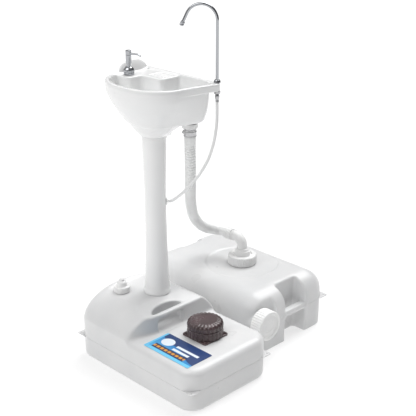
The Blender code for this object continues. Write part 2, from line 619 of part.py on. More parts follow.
# ---------------------------------------------------------------- soap pump
def make_soap_pump():
    low, high = 0.722, 0.756

    def bottle(name, wall):
        wide = block(f"{name}_wide", (-0.114 + wall, 0.001 + wall, low + wall), (-0.092 - wall, 0.086 - wall, high - wall))
        back = block(f"{name}_back", (-0.110 + wall, 0.042 + wall, low + wall), (-0.028 - wall, 0.086 - wall, high - wall))
        return join(wide, back)

    reservoir = join(bottle("reservoir", 0.0), upright("reservoir_neck", SOAP_AT, high - 0.001, DECK_TOP, 0.0108, 24))
    cut(reservoir, bottle("reservoir_space", 0.0015),
        upright("reservoir_bore", SOAP_AT, high - 0.004, 0.800, 0.0085, 24))
    part(reservoir, "soap_reservoir", "clear")

    at = (*SOAP_AT, 0.0)
    collar = turned("soap_collar", [
        (0.0061, 0.8000), (0.0061, 0.7885), (0.0095, 0.7865), (0.0142, 0.7815), (0.0142, DECK_TOP + GAP),
        (0.0090, DECK_TOP + GAP), (0.0090, 0.7820), (0.0039, 0.7840), (0.0039, 0.8000)], at=at, ring=True, steps=28)
    part(collar, "soap_collar", "chrome")
    plunger = turned("soap_plunger", [(0.0, 0.8120), (0.0034, 0.8120), (0.0034, 0.7655), (0.0070, 0.7650),
                                      (0.0070, 0.7625), (0.0, 0.7625)], at=at, steps=16)
    part(plunger, "soap_plunger", "steel")
    spring = coil("soap_spring", SOAP_AT, 0.0050, 0.8009, 0.8114, 0.0005, 3)
    part(spring, "soap_spring", "steel")
    head = turned("soap_pump_head", [
        (0.0, 0.8310), (0.0058, 0.8305), (0.0076, 0.8285), (0.0078, 0.8200), (0.0078, 0.7960), (0.0066, 0.7960),
        (0.0066, 0.8123), (0.0, 0.8123)], at=at, steps=28)
    heading = (math.cos(SOAP_SPOUT_ANGLE), math.sin(SOAP_SPOUT_ANGLE))
    reach = [(SOAP_AT[0] + d * heading[0], SOAP_AT[1] + d * heading[1]) for d in (0.004, 0.030, 0.0385)]
    join(head, cylinder("spout", (*reach[0], 0.8225), (*reach[1], 0.8225), 0.0026, 12),
         cylinder("spout_tip", (*reach[1], 0.8225 + 0.0007), (*reach[2], 0.8185), 0.0023, 12))
    part(head, "soap_pump_head", "chrome")
    dip = turned("soap_dip_tube", [(0.0022, 0.7622), (0.0022, 0.7330), (0.0012, 0.7330), (0.0012, 0.7622)],
                 at=at, ring=True, steps=12)
    part(dip, "soap_dip_tube", "clear")


# ---------------------------------------------------------------- faucet
def faucet_points():
    """Up from the ledge, then a half circle towards the bowl, then the short drop to the nozzle."""
    heading = (math.cos(FAUCET_ANGLE), math.sin(FAUCET_ANGLE))
    points = [(*FAUCET_AT, RIM_TOP + 0.0025), (*FAUCET_AT, 0.850)]
    for step in range(13):
        angle = math.pi * step / 12
        out = FAUCET_BEND * (1 - math.cos(angle))
        points.append((FAUCET_AT[0] + out * heading[0], FAUCET_AT[1] + out * heading[1],
                       FAUCET_ARCH_Z + FAUCET_BEND * math.sin(angle)))
    points.append((points[-1][0], points[-1][1], FAUCET_ARCH_Z - 0.002))
    return points


def hexagon(name, at, radius, low, high, bore):
    nut = upright(name, at, low, high, radius, 6)
    return cut(nut, upright(f"{name}_bore", at, low - 0.01, high + 0.01, bore, 24))


def make_faucet():
    at = (*FAUCET_AT, 0.0)
    points = faucet_points()
    spout = part(pipe("faucet_pipe", points, 0.004, resolution=3), "faucet_pipe", "chrome")
    tip = points[-1]
    nozzle = turned("faucet_nozzle", [(0.0, -GAP), (0.0045, -GAP), (0.0056, -0.0013), (0.0056, -0.0105),
                                      (0.0050, -0.0115), (0.0036, -0.0115), (0.0036, -0.0040), (0.0, -0.0040)],
                    at=tip, steps=24)
    part(nozzle, "faucet_nozzle", "chrome")
    turn_about("faucet_pivot", (*FAUCET_AT, RIM_TOP), spout, nozzle)
    base = turned("faucet_base", [(0.0, RIM_TOP + 0.0022), (0.0044, RIM_TOP + 0.0022), (0.0044, RIM_TOP + 0.0080),
                                  (0.0062, RIM_TOP + 0.0080), (0.0078, RIM_TOP + 0.0065),
                                  (0.0090, RIM_TOP + 0.0018), (0.0090, RIM_TOP + GAP), (0.0050, RIM_TOP + GAP),
                                  (0.0050, 0.7365), (0.0, 0.7365)], at=at, steps=28)
    part(base, "faucet_base", "chrome")
    part(hexagon("faucet_lock_nut", FAUCET_AT, 0.0088, 0.7420, LEDGE_BOTTOM - 0.0007, 0.0053), "faucet_lock_nut", "steel")
    tail = turned("faucet_tail", [(0.0, 0.7362), (0.0058, 0.7362), (0.0058, 0.7290), (0.0047, 0.7280), (0.0047, 0.7216),
                                  (0.0, 0.7216)], at=at, steps=20)
    part(tail, "faucet_tail", "steel")
    part(pipe("supply_hose", hose_path(SUPPLY_ROUTE, 0.018), SUPPLY_R), "supply_hose", "hose")


# ---------------------------------------------------------------- drain
def make_drain():
    at = (*DRAIN_AT, 0.0)
    shank_low = 0.6450
    flange_low = BOWL_FLOOR + GAP
    flange = turned("drain_flange", [(0.0250, flange_low + 0.0022), (0.0262, flange_low + 0.0012), (0.0262, flange_low),
                                     (0.0165, flange_low), (0.0165, shank_low), (0.0125, shank_low),
                                     (0.0125, flange_low), (0.0200, flange_low + 0.0018)], at=at, ring=True)
    bar_z = (0.6690, 0.6715)
    for index, (dx, dy) in enumerate([(0.0140, 0.0012), (0.0012, 0.0140)]):
        join(flange, block(f"strainer_bar_{index}", (DRAIN_AT[0] - dx, DRAIN_AT[1] - dy, bar_z[0]),
                           (DRAIN_AT[0] + dx, DRAIN_AT[1] + dy, bar_z[1])))
    part(flange, "drain_flange", "steel")
    gasket_top = DRAIN_SEAT - GAP
    gasket = turned("drain_gasket", [(0.0215, gasket_top), (0.0215, gasket_top - 0.0018), (0.0168, gasket_top - 0.0018),
                                     (0.0168, gasket_top)], at=at, ring=True)
    part(gasket, "drain_gasket", "rubber")
    nut = hexagon("drain_nut", DRAIN_AT, 0.0218, 0.6500, gasket_top - 0.0018 - GAP, 0.0168)
    part(nut, "drain_nut", "cap")
    tail = turned("drain_tail", [(0.0165, shank_low - GAP), (0.0165, shank_low - 0.0018), (0.0155, shank_low - 0.0022),
                                 (0.0155, 0.6262), (0.0120, 0.6262), (0.0120, shank_low - GAP)], at=at, ring=True)
    part(tail, "drain_tail", "cap")

    clamp_z = (0.6285, 0.6415)
    band = turned("hose_clamp", [(0.0174, clamp_z[1]), (0.0174, clamp_z[0]), (0.0158, clamp_z[0]), (0.0158, clamp_z[1])],
                  at=at, ring=True)
    ear_x = DRAIN_AT[0] - 0.0235
    join(band, block("clamp_ear", (ear_x, DRAIN_AT[1] - 0.0045, clamp_z[0] + 0.0015),
                     (DRAIN_AT[0] - 0.0166, DRAIN_AT[1] + 0.0045, clamp_z[1] - 0.0015)))
    screw_x, screw_z = ear_x + 0.0030, sum(clamp_z) / 2
    cut(band, cylinder("clamp_hole", (screw_x, DRAIN_AT[1] - 0.03, screw_z), (screw_x, DRAIN_AT[1] + 0.03, screw_z), 0.0018, 12))
    part(band, "hose_clamp", "steel")
    screw = cylinder("clamp_screw", (screw_x, DRAIN_AT[1] - 0.0048, screw_z), (screw_x, DRAIN_AT[1] - 0.0068, screw_z), 0.0030, 12)
    join(screw, cylinder("clamp_shank", (screw_x, DRAIN_AT[1] - 0.0055, screw_z), (screw_x, DRAIN_AT[1] + 0.0070, screw_z), 0.0015, 12))
    part(screw, "clamp_screw", "steel")
    part(pipe("drain_hose", hose_path(DRAIN_ROUTE, 0.028), DRAIN_HOSE_R, resolution=3), "drain_hose", "hose")


# ---------------------------------------------------------------- waste tank
def waste_notches(grow):
    """The cut through each end of the tank that leaves a bar to lift it by."""
    cutters = []
    y = (WASTE_HANDLE_Y[0] - grow, WASTE_HANDLE_Y[1] + grow)
    for side, edge in ((1, WASTE_X[1]), (-1, WASTE_X[0])):
        inner = edge - side * (WASTE_HANDLE_DEPTH + grow)
        bar = edge - side * (WASTE_BAR_DEPTH - grow)
        outer = edge + side * 0.050
        spans = [("slot", inner, bar, -0.1, 0.3), ("over", inner, outer, WASTE_BAR_Z[1] - grow, 0.3),
                 ("under", inner, outer, -0.1, WASTE_BAR_Z[0] + grow)]
        for name, x_a, x_b, low, high in spans:
            cutters.append(block(f"waste_{name}_{side}_{grow}", (min(x_a, x_b), y[0], low), (max(x_a, x_b), y[1], high)))
    return cutters


def waste_body(shrink):
    levels = [(0.000, 0.015), (0.003, 0.006), (0.010, 0.0015), (0.020, 0.0), (0.105, 0.0), (0.125, 0.003),
              (0.141, 0.0095), (0.153, 0.019), (0.161, 0.032), (0.1648, 0.048), (WASTE_TOP, 0.066)]
    body = rounded_block(f"waste_low_{shrink}", WASTE_X, WASTE_Y, levels, WASTE_CORNER, shrink)
    recess_z = WASTE_TOP - 0.0025 - shrink
    corner = block(f"drain_corner_{shrink}", (DRAIN_WALL_X - shrink, 0.05, 0.036 - shrink),
                   (0.300, DRAIN_CAP_AT[0] + 0.050 + shrink, 0.300))
    cut(body, upright(f"cap_disc_{shrink}", WASTE_CAP_AT, recess_z, 0.300, WASTE_DISC_R + shrink, 48), corner,
        *waste_notches(shrink))
    return body


def make_waste_tank():
    tank = waste_body(0.0)
    join(tank, *parting_ears("waste", WASTE_X, WASTE_Y, WASTE_PARTING, [(1, 1), (-1, 1), (-1, -1)]))
    cut(tank, waste_body(WALL))
    y, z = DRAIN_CAP_AT
    join(tank, upright("waste_neck", WASTE_CAP_AT, 0.1615, 0.1840, 0.0340, 40),
         cylinder("drain_neck", (DRAIN_WALL_X - 0.002, y, z), (0.2380, y, z), 0.0350, 40))
    cut(tank, upright("waste_bore", WASTE_CAP_AT, 0.1500, 0.2000, 0.0260, 32),
        cylinder("drain_bore", (DRAIN_WALL_X - 0.012, y, z), (0.2600, y, z), 0.0280, 32))
    part(tank, "waste_tank", "tank")


def make_drain_cap():
    at = (0.0, DRAIN_CAP_AT[0], DRAIN_CAP_AT[1])
    cap = turned("drain_cap", [(0.0, 0.2460), (0.0335, 0.2460), (0.0360, 0.2500), (0.0405, 0.2500), (0.0430, 0.2478),
                               (0.0430, 0.2145), (0.0424, 0.2135), (0.0354, 0.2135), (0.0354, 0.2401), (0.0, 0.2401)],
                 at=at, axis="X", steps=32)
    part(cap, "drain_cap", "cap")
    gasket = turned("drain_cap_gasket", [(0.0348, 0.2398), (0.0348, 0.2383), (0.0285, 0.2383), (0.0285, 0.2398)],
                    at=at, axis="X", ring=True)
    part(gasket, "drain_cap_gasket", "rubber")


def make_waste_cap():
    at = (*WASTE_CAP_AT, 0.0)
    ring = turned("waste_cap_ring", [(0.0395, 0.1920), (0.0430, 0.1895), (0.0430, 0.1655), (0.0425, 0.1645),
                                     (0.0344, 0.1645), (0.0344, 0.1885), (0.0290, 0.1885), (0.0290, 0.1920)],
                  at=at, ring=True, steps=32)
    part(ring, "waste_cap_ring", "cap")
    gasket = turned("waste_cap_gasket", [(0.0335, 0.1856), (0.0335, 0.1843), (0.0265, 0.1843), (0.0265, 0.1856)],
                    at=at, ring=True)
    part(gasket, "waste_cap_gasket", "rubber")

    bend = 0.026
    stack = [(0.1859, 0.0330), (0.1881, 0.0330), (0.18815, 0.0230), (0.2030, 0.0230), (0.2045, 0.0190), (0.2100, 0.0190),
             (0.2110, 0.0150)]
    points = [(*WASTE_CAP_AT, height) for height, width in stack]
    widths = [width for height, width in stack]
    for step in range(9):
        angle = math.pi / 2 * step / 8
        points.append((WASTE_CAP_AT[0] - bend * (1 - math.cos(angle)), WASTE_CAP_AT[1], ELBOW_Z - bend + bend * math.sin(angle)))
        widths.append(0.0150)
    points.append((-0.0277, WASTE_CAP_AT[1], ELBOW_Z))
    widths.append(0.0150)
    elbow = pipe("waste_elbow", points, 1.0, resolution=4, widths=widths)
    part(elbow, "waste_elbow", "cap")
    cuff = cylinder("hose_cuff", (-0.0550, WASTE_CAP_AT[1], ELBOW_Z), (-0.0280, WASTE_CAP_AT[1], ELBOW_Z), 0.0172, 24)
    part(cuff, "hose_cuff", "hose")


make_fresh_tank()
make_fill_cap()
make_foot_pump()
make_label()
make_pedestal()
make_basin()
make_soap_pump()
make_faucet()
make_drain()
make_waste_tank()
make_drain_cap()
make_waste_cap()
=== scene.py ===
"""The looks of a portable handwash sink: blow-moulded tanks, a moulded basin on a pedestal, a plated
gooseneck faucet and soap pump, a fluted rubber foot pump, and two hoses.

Shapes are worked out as whole arrays. There are three kinds: a profile turned about an axis, a ring
carried along a path, and a solid given by a field that is negative inside it.
"""
import functools
import json
import math

import bpy
import numpy as np
from mathutils import Matrix


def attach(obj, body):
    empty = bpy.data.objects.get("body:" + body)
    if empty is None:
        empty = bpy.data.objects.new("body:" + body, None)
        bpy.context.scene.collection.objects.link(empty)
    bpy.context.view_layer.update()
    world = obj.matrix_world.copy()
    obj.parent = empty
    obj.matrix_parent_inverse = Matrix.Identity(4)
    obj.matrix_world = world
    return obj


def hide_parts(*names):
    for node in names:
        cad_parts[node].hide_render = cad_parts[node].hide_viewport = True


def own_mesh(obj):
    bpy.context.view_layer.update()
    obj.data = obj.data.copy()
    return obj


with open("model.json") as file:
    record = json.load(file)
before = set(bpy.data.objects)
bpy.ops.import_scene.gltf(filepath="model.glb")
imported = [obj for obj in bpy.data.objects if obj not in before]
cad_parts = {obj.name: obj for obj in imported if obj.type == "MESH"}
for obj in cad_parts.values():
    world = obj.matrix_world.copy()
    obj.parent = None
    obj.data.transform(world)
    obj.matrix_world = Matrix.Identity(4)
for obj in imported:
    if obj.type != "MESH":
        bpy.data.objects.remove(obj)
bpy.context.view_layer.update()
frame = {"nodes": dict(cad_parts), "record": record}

TURN = 2 * math.pi

# ---- sizes, in metres
FRESH_X, FRESH_Y, FRESH_CORNER = (-0.141, 0.315), (-0.174, 0.120), 0.048
LOW_TOP, PLATFORM, RIDGE_TOP = 0.120, 0.181, 0.1875
STEP_X, FRESH_PARTING = 0.100, 0.062
GRIP_Y, GRIP_X, GRIP_FLOOR, GRIP_BAR = (-0.091, 0.012), (0.060, 0.084), 0.122, 0.157
FILL_AT, PUMP_AT = (-0.066, -0.071), (0.1915, -0.004)
BELLOWS_LOW, BELLOWS_TOP, FLANGE_HALF, SCREW_REACH = 0.1246, 0.147, 0.044, 0.037
LABEL_X, LABEL_Y = (0.117, 0.282), (-0.156, -0.068)
HOSE_HOLE_Z, HOSE_HOLE_ANGLE = 0.445, math.radians(45)

RIM_TOP, LEDGE_BOTTOM, DECK_TOP, BOWL_FLOOR = 0.770, 0.749, 0.767, 0.676
DRAIN_AT, SOAP_AT, FAUCET_AT = (0.072, 0.060), (-0.108, 0.013), (0.126, 0.104)
SOAP_ANGLE, FAUCET_ANGLE = math.radians(15), math.radians(218)
FAUCET_BEND, FAUCET_ARCH_Z = 0.0427, 0.923

WASTE_X, WASTE_Y, WASTE_CORNER, WASTE_TOP = (-0.240, 0.228), (0.153, 0.467), 0.055, 0.166
WASTE_PARTING, EAR_REACH = 0.083, 0.04
LIFT_Y, LIFT_DEPTH, LIFT_BAR_Z, LIFT_BAR_DEPTH = (0.280, 0.368), 0.046, (0.074, 0.094), 0.022
WASTE_CAP_AT, WASTE_DISC_R, ELBOW_Z, ELBOW_BEND = (0.012, 0.329), 0.108, 0.241, 0.026
DRAIN_CAP_AT, DRAIN_WALL_X = (0.190, 0.091), 0.212

SUPPLY_R, DRAIN_HOSE_R, RING_PITCH, RING_DEPTH = 0.004, 0.0155, 0.0072, 0.0030
SUPPLY_ROUTE = [
    (0.1260, 0.1040, 0.7213), (0.1260, 0.1040, 0.7120), (0.1268, 0.1028, 0.6740), (0.1258, 0.1003, 0.6460),
    (0.1215, 0.0950, 0.6080), (0.1115, 0.0855, 0.5660), (0.0940, 0.0700, 0.5240), (0.0740, 0.0535, 0.4920),
    (0.0555, 0.0425, 0.4690), (0.0420, 0.0350, 0.4555), (0.0335, 0.0320, 0.4480), (0.0275, 0.0275, 0.4453),
    (0.0235, 0.0235, 0.4450),
]
DRAIN_ROUTE = [
    (0.0720, 0.0600, 0.6259), (0.0720, 0.0600, 0.6150), (0.0715, 0.0605, 0.5850), (0.0690, 0.0640, 0.5450),
    (0.0560, 0.0760, 0.4900), (0.0300, 0.1000, 0.4400), (-0.0060, 0.1380, 0.3870), (-0.0430, 0.1830, 0.3370),
    (-0.0730, 0.2320, 0.2920), (-0.0900, 0.2760, 0.2610), (-0.0880, 0.3100, 0.2455),
    (-0.0780, 0.3250, 0.2416), (-0.0640, 0.3290, 0.2410), (-0.0558, 0.3290, 0.2410),
]

# Level outlines of the basin: height, half width and depth of the square back, half axes of the
# round front, and that front's centre.
BASIN_OUTSIDE = np.array([
    (0.630, 0.036, 0.036, 0.036, 0.036, 0.000, 0.000), (0.643, 0.042, 0.041, 0.054, 0.046, 0.000, 0.000),
    (0.654, 0.056, 0.050, 0.067, 0.052, -0.001, 0.000), (0.6632, 0.072, 0.062, 0.077, 0.056, -0.003, -0.002),
    (0.665, 0.104, 0.088, 0.080, 0.057, -0.004, -0.003), (0.672, 0.116, 0.096, 0.086, 0.060, -0.006, -0.004),
    (0.690, 0.124, 0.102, 0.098, 0.067, -0.009, -0.007), (0.714, 0.127, 0.104, 0.113, 0.078, -0.011, -0.009),
    (0.7486, 0.128, 0.105, 0.1262, 0.0882, -0.012, -0.010),
    (0.770, 0.128, 0.105, 0.1264, 0.0884, -0.012, -0.010),
])
BASIN_INSIDE = np.array([
    (0.670, 0.080, 0.064, 0.045, 0.026, -0.003, -0.002), (0.676, 0.088, 0.071, 0.056, 0.035, -0.004, -0.003),
    (0.683, 0.102, 0.082, 0.073, 0.046, -0.006, -0.004), (0.696, 0.112, 0.090, 0.088, 0.057, -0.009, -0.007),
    (0.715, 0.118, 0.094, 0.101, 0.067, -0.011, -0.009), (0.745, 0.122, 0.096, 0.111, 0.074, -0.012, -0.010),
    (0.768, 0.128, 0.099, 0.115, 0.077, -0.012, -0.010), (0.790, 0.130, 0.101, 0.117, 0.079, -0.012, -0.010),
])


# ---- meshes from arrays
def make_mesh(name, points, face_sets):
    """An object from points and arrays of faces, turned so that the enclosed volume is positive."""
    volume = 0.0
    for faces in face_sets:
        for second in range(1, faces.shape[1] - 1):
            a, b, c = (points[faces[:, k]] for k in (0, second, second + 1))
            volume += float(np.einsum("ij,ij->", a, np.cross(b, c)))
    if volume < 0:
        face_sets = [faces[:, ::-1] for faces in face_sets]
    corners = np.concatenate([faces.ravel() for faces in face_sets])
    counts = np.concatenate([np.full(len(faces), faces.shape[1]) for faces in face_sets])
    mesh = bpy.data.meshes.new(name)
    mesh.vertices.add(len(points))
    mesh.vertices.foreach_set("co", np.ascontiguousarray(points, np.float32).ravel())
    mesh.loops.add(len(corners))
    mesh.loops.foreach_set("vertex_index", corners.astype(np.int32))
    mesh.polygons.add(len(counts))
    mesh.polygons.foreach_set("loop_start", (np.cumsum(counts) - counts).astype(np.int32))
    mesh.update(calc_edges=True)
    mesh.validate()
    mesh.shade_smooth()
    piece = bpy.data.objects.new(name, mesh)
    bpy.context.scene.collection.objects.link(piece)
    return piece


def skin(name, grid, ends=(None, None), looped=False):
    """A surface on a grid of points that closes round its columns. Its rows close into a loop, or
    each end closes with a fan to a point."""
    rows, columns = grid.shape[:2]
    index = np.arange(rows * columns).reshape(rows, columns)
    index = np.column_stack([index, index[:, 0]])
    if looped:
        index = np.vstack([index, index[:1]])
    quads = np.stack([index[:-1, :-1], index[1:, :-1], index[1:, 1:], index[:-1, 1:]], -1).reshape(-1, 4)
    points, faces = grid.reshape(-1, 3), [quads]
    if not looped:
        first, last = len(points), len(points) + 1
        tips = [end if end is not None else grid[row].mean(0) for end, row in zip(ends, (0, -1))]
        points = np.vstack([points, tips])
        faces.append(np.column_stack([np.full(columns, first), index[0, :-1], index[0, 1:]]))
        faces.append(np.column_stack([np.full(columns, last), index[-1, 1:], index[-1, :-1]]))
    return make_mesh(name, points, faces)


def eased(corners, radius=0.0008, looped=False, steps=4):
    """A profile with round corners. Each corner gives way to a quadratic curve that starts one
    radius before it and ends one radius after; a third number on a corner is its own radius."""
    points = [np.array(corner[:2], float) for corner in corners]
    radii = [corner[2] if len(corner) > 2 else radius for corner in corners]
    count, out = len(points), []
    for index, (corner, bend) in enumerate(zip(points, radii)):
        if not looped and index in (0, count - 1):
            out.append(corner)
            continue
        before, after = points[index - 1] - corner, points[(index + 1) % count] - corner
        reach_in = min(bend, 0.39 * np.hypot(*before))
        reach_out = min(bend, 0.39 * np.hypot(*after))
        start = corner + before / np.hypot(*before) * reach_in
        end = corner + after / np.hypot(*after) * reach_out
        out.append(start + (start - corner) * 0.25)
        for t in np.linspace(0, 1, steps + 1):
            out.append((1 - t) ** 2 * start + 2 * t * (1 - t) * corner + t * t * end)
        out.append(end + (end - corner) * 0.25)
    return np.array(out)


def turned(name, profile, at=(0.0, 0.0, 0.0), axis="Z", sides=96, ripple=None, looped=False):
    """A profile of (radius, height) rows turned about an axis through a point. A ripple is a
    function of radius, height and angle that is added to the radius."""
    profile = np.asarray(profile, float)
    ends = [None, None]
    if not looped:
        ends = [np.array([0.0, 0.0, profile[row, 1]]) for row in (0, -1)]
        profile = np.vstack([(profile[0, 0] + 1e-4, profile[0, 1]), profile[1:-1],
                             (profile[-1, 0] + 1e-4, profile[-1, 1])])
    angle = np.arange(sides) * TURN / sides
    radius, height = (np.repeat(profile[:, k, None], sides, 1) for k in (0, 1))
    if ripple is not None:
        radius = np.maximum(radius + ripple(radius, height, angle[None, :]), 1e-5)
    grid = np.stack([radius * np.cos(angle), radius * np.sin(angle), height], -1)
    place = np.array(at, float)
    if axis == "X":
        grid = grid[..., [2, 0, 1]]
        ends = [end if end is None else end[[2, 0, 1]] for end in ends]
    ends = [end if end is None else end + place for end in ends]
    return skin(name, grid + place, ends, looped)


def carried(name, path, radius, sides=24, looped=False):
    """A ring carried along a path, square to it at each point. The ring starts from the direction
    that the path uses least, so it doesn't twist. Radius may be one number or one per point."""
    path = np.asarray(path, float)
    if looped:
        ahead = np.roll(path, -1, 0) - np.roll(path, 1, 0)
    else:
        ahead = np.gradient(path, axis=0)
    ahead /= np.linalg.norm(ahead, axis=1, keepdims=True)
    spare = np.linalg.svd(ahead, full_matrices=True)[2][-1]
    out = spare - ahead * (ahead @ spare)[:, None]
    out /= np.linalg.norm(out, axis=1, keepdims=True)
    side = np.cross(ahead, out)
    angle = np.arange(sides) * TURN / sides
    ring = np.broadcast_to(np.asarray(radius, float), len(path))[:, None, None]
    grid = path[:, None] + ring * (np.cos(angle)[None, :, None] * out[:, None]
                                   + np.sin(angle)[None, :, None] * side[:, None])
    return skin(name, grid, (path[0], path[-1]), looped)


def smooth_path(route, spacing):
    """Points at even steps along a Catmull-Rom curve through the route, all spans at once. The
    first and last stretches stay straight."""
    route = np.asarray(route, float)
    middle = route[1:-1]
    knots = np.vstack([2 * middle[0] - middle[1], middle, 2 * middle[-1] - middle[-2]])
    t = np.arange(24)[:, None] / 24
    p0, p1, p2, p3 = (knots[k:len(knots) - 3 + k, None] for k in range(4))
    fine = 0.5 * (2 * p1 + (p2 - p0) * t + (2 * p0 - 5 * p1 + 4 * p2 - p3) * t ** 2
                  + (3 * p1 - p0 - 3 * p2 + p3) * t ** 3)
    fine = np.vstack([route[:1], fine.reshape(-1, 3), middle[-1:], route[-1:]])
    along = np.concatenate([[0], np.cumsum(np.linalg.norm(np.diff(fine, axis=0), axis=1))])
    wanted = np.linspace(0, along[-1], max(2, round(along[-1] / spacing)) + 1)
    return np.stack([np.interp(wanted, along, fine[:, k]) for k in range(3)], 1)


# ---- solids from fields
def both(a, b, radius):
    """What two fields share, with a convex edge of that radius between them."""
    corner = np.hypot(np.maximum(a + radius, 0), np.maximum(b + radius, 0))
    return np.minimum(np.maximum(a, b), -radius) + corner


def either(a, b, radius):
    """Two fields joined, with a hollow fillet of that radius between them."""
    return -both(-a, -b, radius)


def without(a, b, radius):
    """The first field with the second cut out of it, the edge rounded to that radius."""
    return both(a, -b, radius)


def rounded_plan(x, y, x_range, y_range, corner):
    """Distance in plan to a rectangle with round corners."""
    across = np.abs(x - sum(x_range) / 2) - (x_range[1] - x_range[0]) / 2 + corner
    deep = np.abs(y - sum(y_range) / 2) - (y_range[1] - y_range[0]) / 2 + corner
    outside = np.hypot(np.maximum(across, 0), np.maximum(deep, 0))
    return outside + np.minimum(np.maximum(across, deep), 0) - corner


def from_axis(x, y, at):
    """Distance in plan from an upright axis."""
    return np.hypot(x - at[0], y - at[1])


def box_about(at, reach, low, high):
    """Two corners of a box round an upright axis."""
    return (at[0] - reach, at[1] - reach, low), (at[0] + reach, at[1] + reach, high)


def slab(edge, rise, reach, drop, power):
    """A body with a superellipse shoulder: in plan it ends where edge is 0, in height where rise is
    0, and the shoulder takes reach of the one and drop of the other."""
    across = np.maximum(edge + reach, 0) / reach
    upward = np.maximum(rise + drop, 0) / drop
    return ((across ** power + upward ** power) ** (1 / power) - 1) * min(reach, drop)


def box_field(x, y, z, low, high, radius):
    """Distance to a box with round edges."""
    q = [np.abs(v - (a + b) / 2) - (b - a) / 2 + radius for v, a, b in zip((x, y, z), low, high)]
    outside = np.sqrt(sum(np.maximum(v, 0) ** 2 for v in q))
    return outside + np.minimum(np.maximum(np.maximum(q[0], q[1]), q[2]), 0) - radius


def zero_surface(field, low, high, pitch):
    """Points and quads where a field changes sign on a grid: one point in each cell that the surface
    passes through, at the mean of its edge crossings, and one quad across each crossed edge."""
    axes = [np.arange(a - 2.5 * pitch, b + 3 * pitch, pitch) for a, b in zip(low, high)]
    x, y, z = np.meshgrid(*axes, indexing="ij", sparse=True)
    values = field(x, y, z)
    cells = tuple(n - 1 for n in values.shape)
    total, count = np.zeros((*cells, 3)), np.zeros(cells)
    crossings = []
    for axis in range(3):
        first = [slice(None)] * 3
        second = [slice(None)] * 3
        first[axis], second[axis] = slice(None, -1), slice(1, None)
        a, b = values[tuple(first)], values[tuple(second)]
        crossed = (a < 0) != (b < 0)
        part = np.where(crossed, a / np.where(crossed, a - b, 1), 0)
        crossings.append((crossed, a < 0))
        near, far = [k for k in range(3) if k != axis]
        for u in (0, 1):
            for v in (0, 1):
                window = [slice(None)] * 3
                window[near], window[far] = slice(u, u + cells[near]), slice(v, v + cells[far])
                hit = crossed[tuple(window)]
                total[..., axis] += part[tuple(window)]
                total[..., near] += hit * u
                total[..., far] += hit * v
                count += hit
    active = count > 0
    cell = np.argwhere(active)
    origin = np.array([axis[0] for axis in axes])
    points = origin + (cell + total[active] / count[active][:, None]) * pitch
    number = np.full(cells, -1)
    number[active] = np.arange(len(cell))
    quads = []
    for axis, (crossed, inside) in enumerate(crossings):
        near, far = [k for k in range(3) if k != axis]
        middle = [slice(None)] * 3
        middle[near], middle[far] = slice(1, -1), slice(1, -1)
        at = np.argwhere(crossed[tuple(middle)])
        ring = []
        for u, v in ((0, 0), (1, 0), (1, 1), (0, 1)):
            place = at.copy()
            place[:, near] += u
            place[:, far] += v
            ring.append(number[tuple(place.T)])
        ring = np.stack(ring, 1)
        facing = inside[tuple(middle)][tuple(at.T)] != (axis == 1)
        quads.append(np.where(facing[:, None], ring, ring[:, ::-1]))
    return points, np.vstack(quads)


def onto_surface(points, field, pitch, times):
    """Moves points to where a field is 0, by Newton steps along its slope."""
    step = 0.04 * pitch
    for _ in range(times):
        x, y, z = points.T
        slope = np.stack([field(x + step, y, z) - field(x - step, y, z),
                          field(x, y + step, z) - field(x, y - step, z),
                          field(x, y, z + step) - field(x, y, z - step)], 1) / (2 * step)
        share = field(x, y, z) / np.maximum((slope ** 2).sum(1), 1e-3)
        points = points - np.clip(share[:, None] * slope, -0.7 * pitch, 0.7 * pitch)
    return points


def solid(name, field, low, high, pitch, evenings=3):
    """A closed surface on a field's zero: its points are evened out among their neighbours and put
    back on the surface, a few times over."""
    points, quads = zero_surface(field, low, high, pitch)
    edges = np.vstack([quads[:, [k, (k + 1) % 4]] for k in range(4)])
    degree = np.bincount(edges.ravel(), minlength=len(points))
    points = onto_surface(points, field, pitch, 2)
    for _ in range(evenings):
        mean = np.stack([np.bincount(edges[:, 0], points[edges[:, 1], k], len(points))
                         + np.bincount(edges[:, 1], points[edges[:, 0], k], len(points)) for k in range(3)],
                        1)
        points = onto_surface(0.5 * points + 0.5 * mean / degree[:, None], field, pitch, 2)
    return make_mesh(name, points, [quads])


def between_levels(z, table):
    """Each column of a table of levels at a height, on a smooth curve that never overshoots: cubic
    spans whose slopes are the harmonic means of their neighbours' slopes."""
    levels, rows = table[:, 0], table[:, 1:]
    gap = np.diff(levels)[:, None]
    rate = np.diff(rows, axis=0) / gap
    product = rate[:-1] * rate[1:]
    inner = np.where(product > 0, 2 * product / np.where(product > 0, rate[:-1] + rate[1:], 1), 0)
    slope = np.vstack([rate[:1], inner, rate[-1:]])
    z = np.clip(z, levels[0], levels[-1])
    span = np.clip(np.searchsorted(levels, z, side="right") - 1, 0, len(gap) - 1)
    width = gap[span][..., 0]
    t = (z - levels[span]) / width
    out = []
    for k in range(rows.shape[1]):
        a, b, m, n = rows[span, k], rows[span + 1, k], slope[span, k], slope[span + 1, k]
        out.append((2 * t ** 3 - 3 * t ** 2 + 1) * a + (t ** 3 - 2 * t ** 2 + t) * width * m
                   + (3 * t ** 2 - 2 * t ** 3) * b + (t ** 3 - t ** 2) * width * n)
    return out


# ---- shader groups
def new_group(name, inputs, outputs):
    """An empty shared effect with its inputs and outputs; returns the sockets at both ends."""
    group = bpy.data.node_groups.new(name, "ShaderNodeTree")
    for label, kind, value in inputs:
        socket = group.interface.new_socket(label, in_out="INPUT", socket_type=kind)
        socket.default_value = value
    for label, kind in outputs:
        group.interface.new_socket(label, in_out="OUTPUT", socket_type=kind)
    return group, group.nodes.new("NodeGroupInput").outputs, group.nodes.new("NodeGroupOutput").inputs


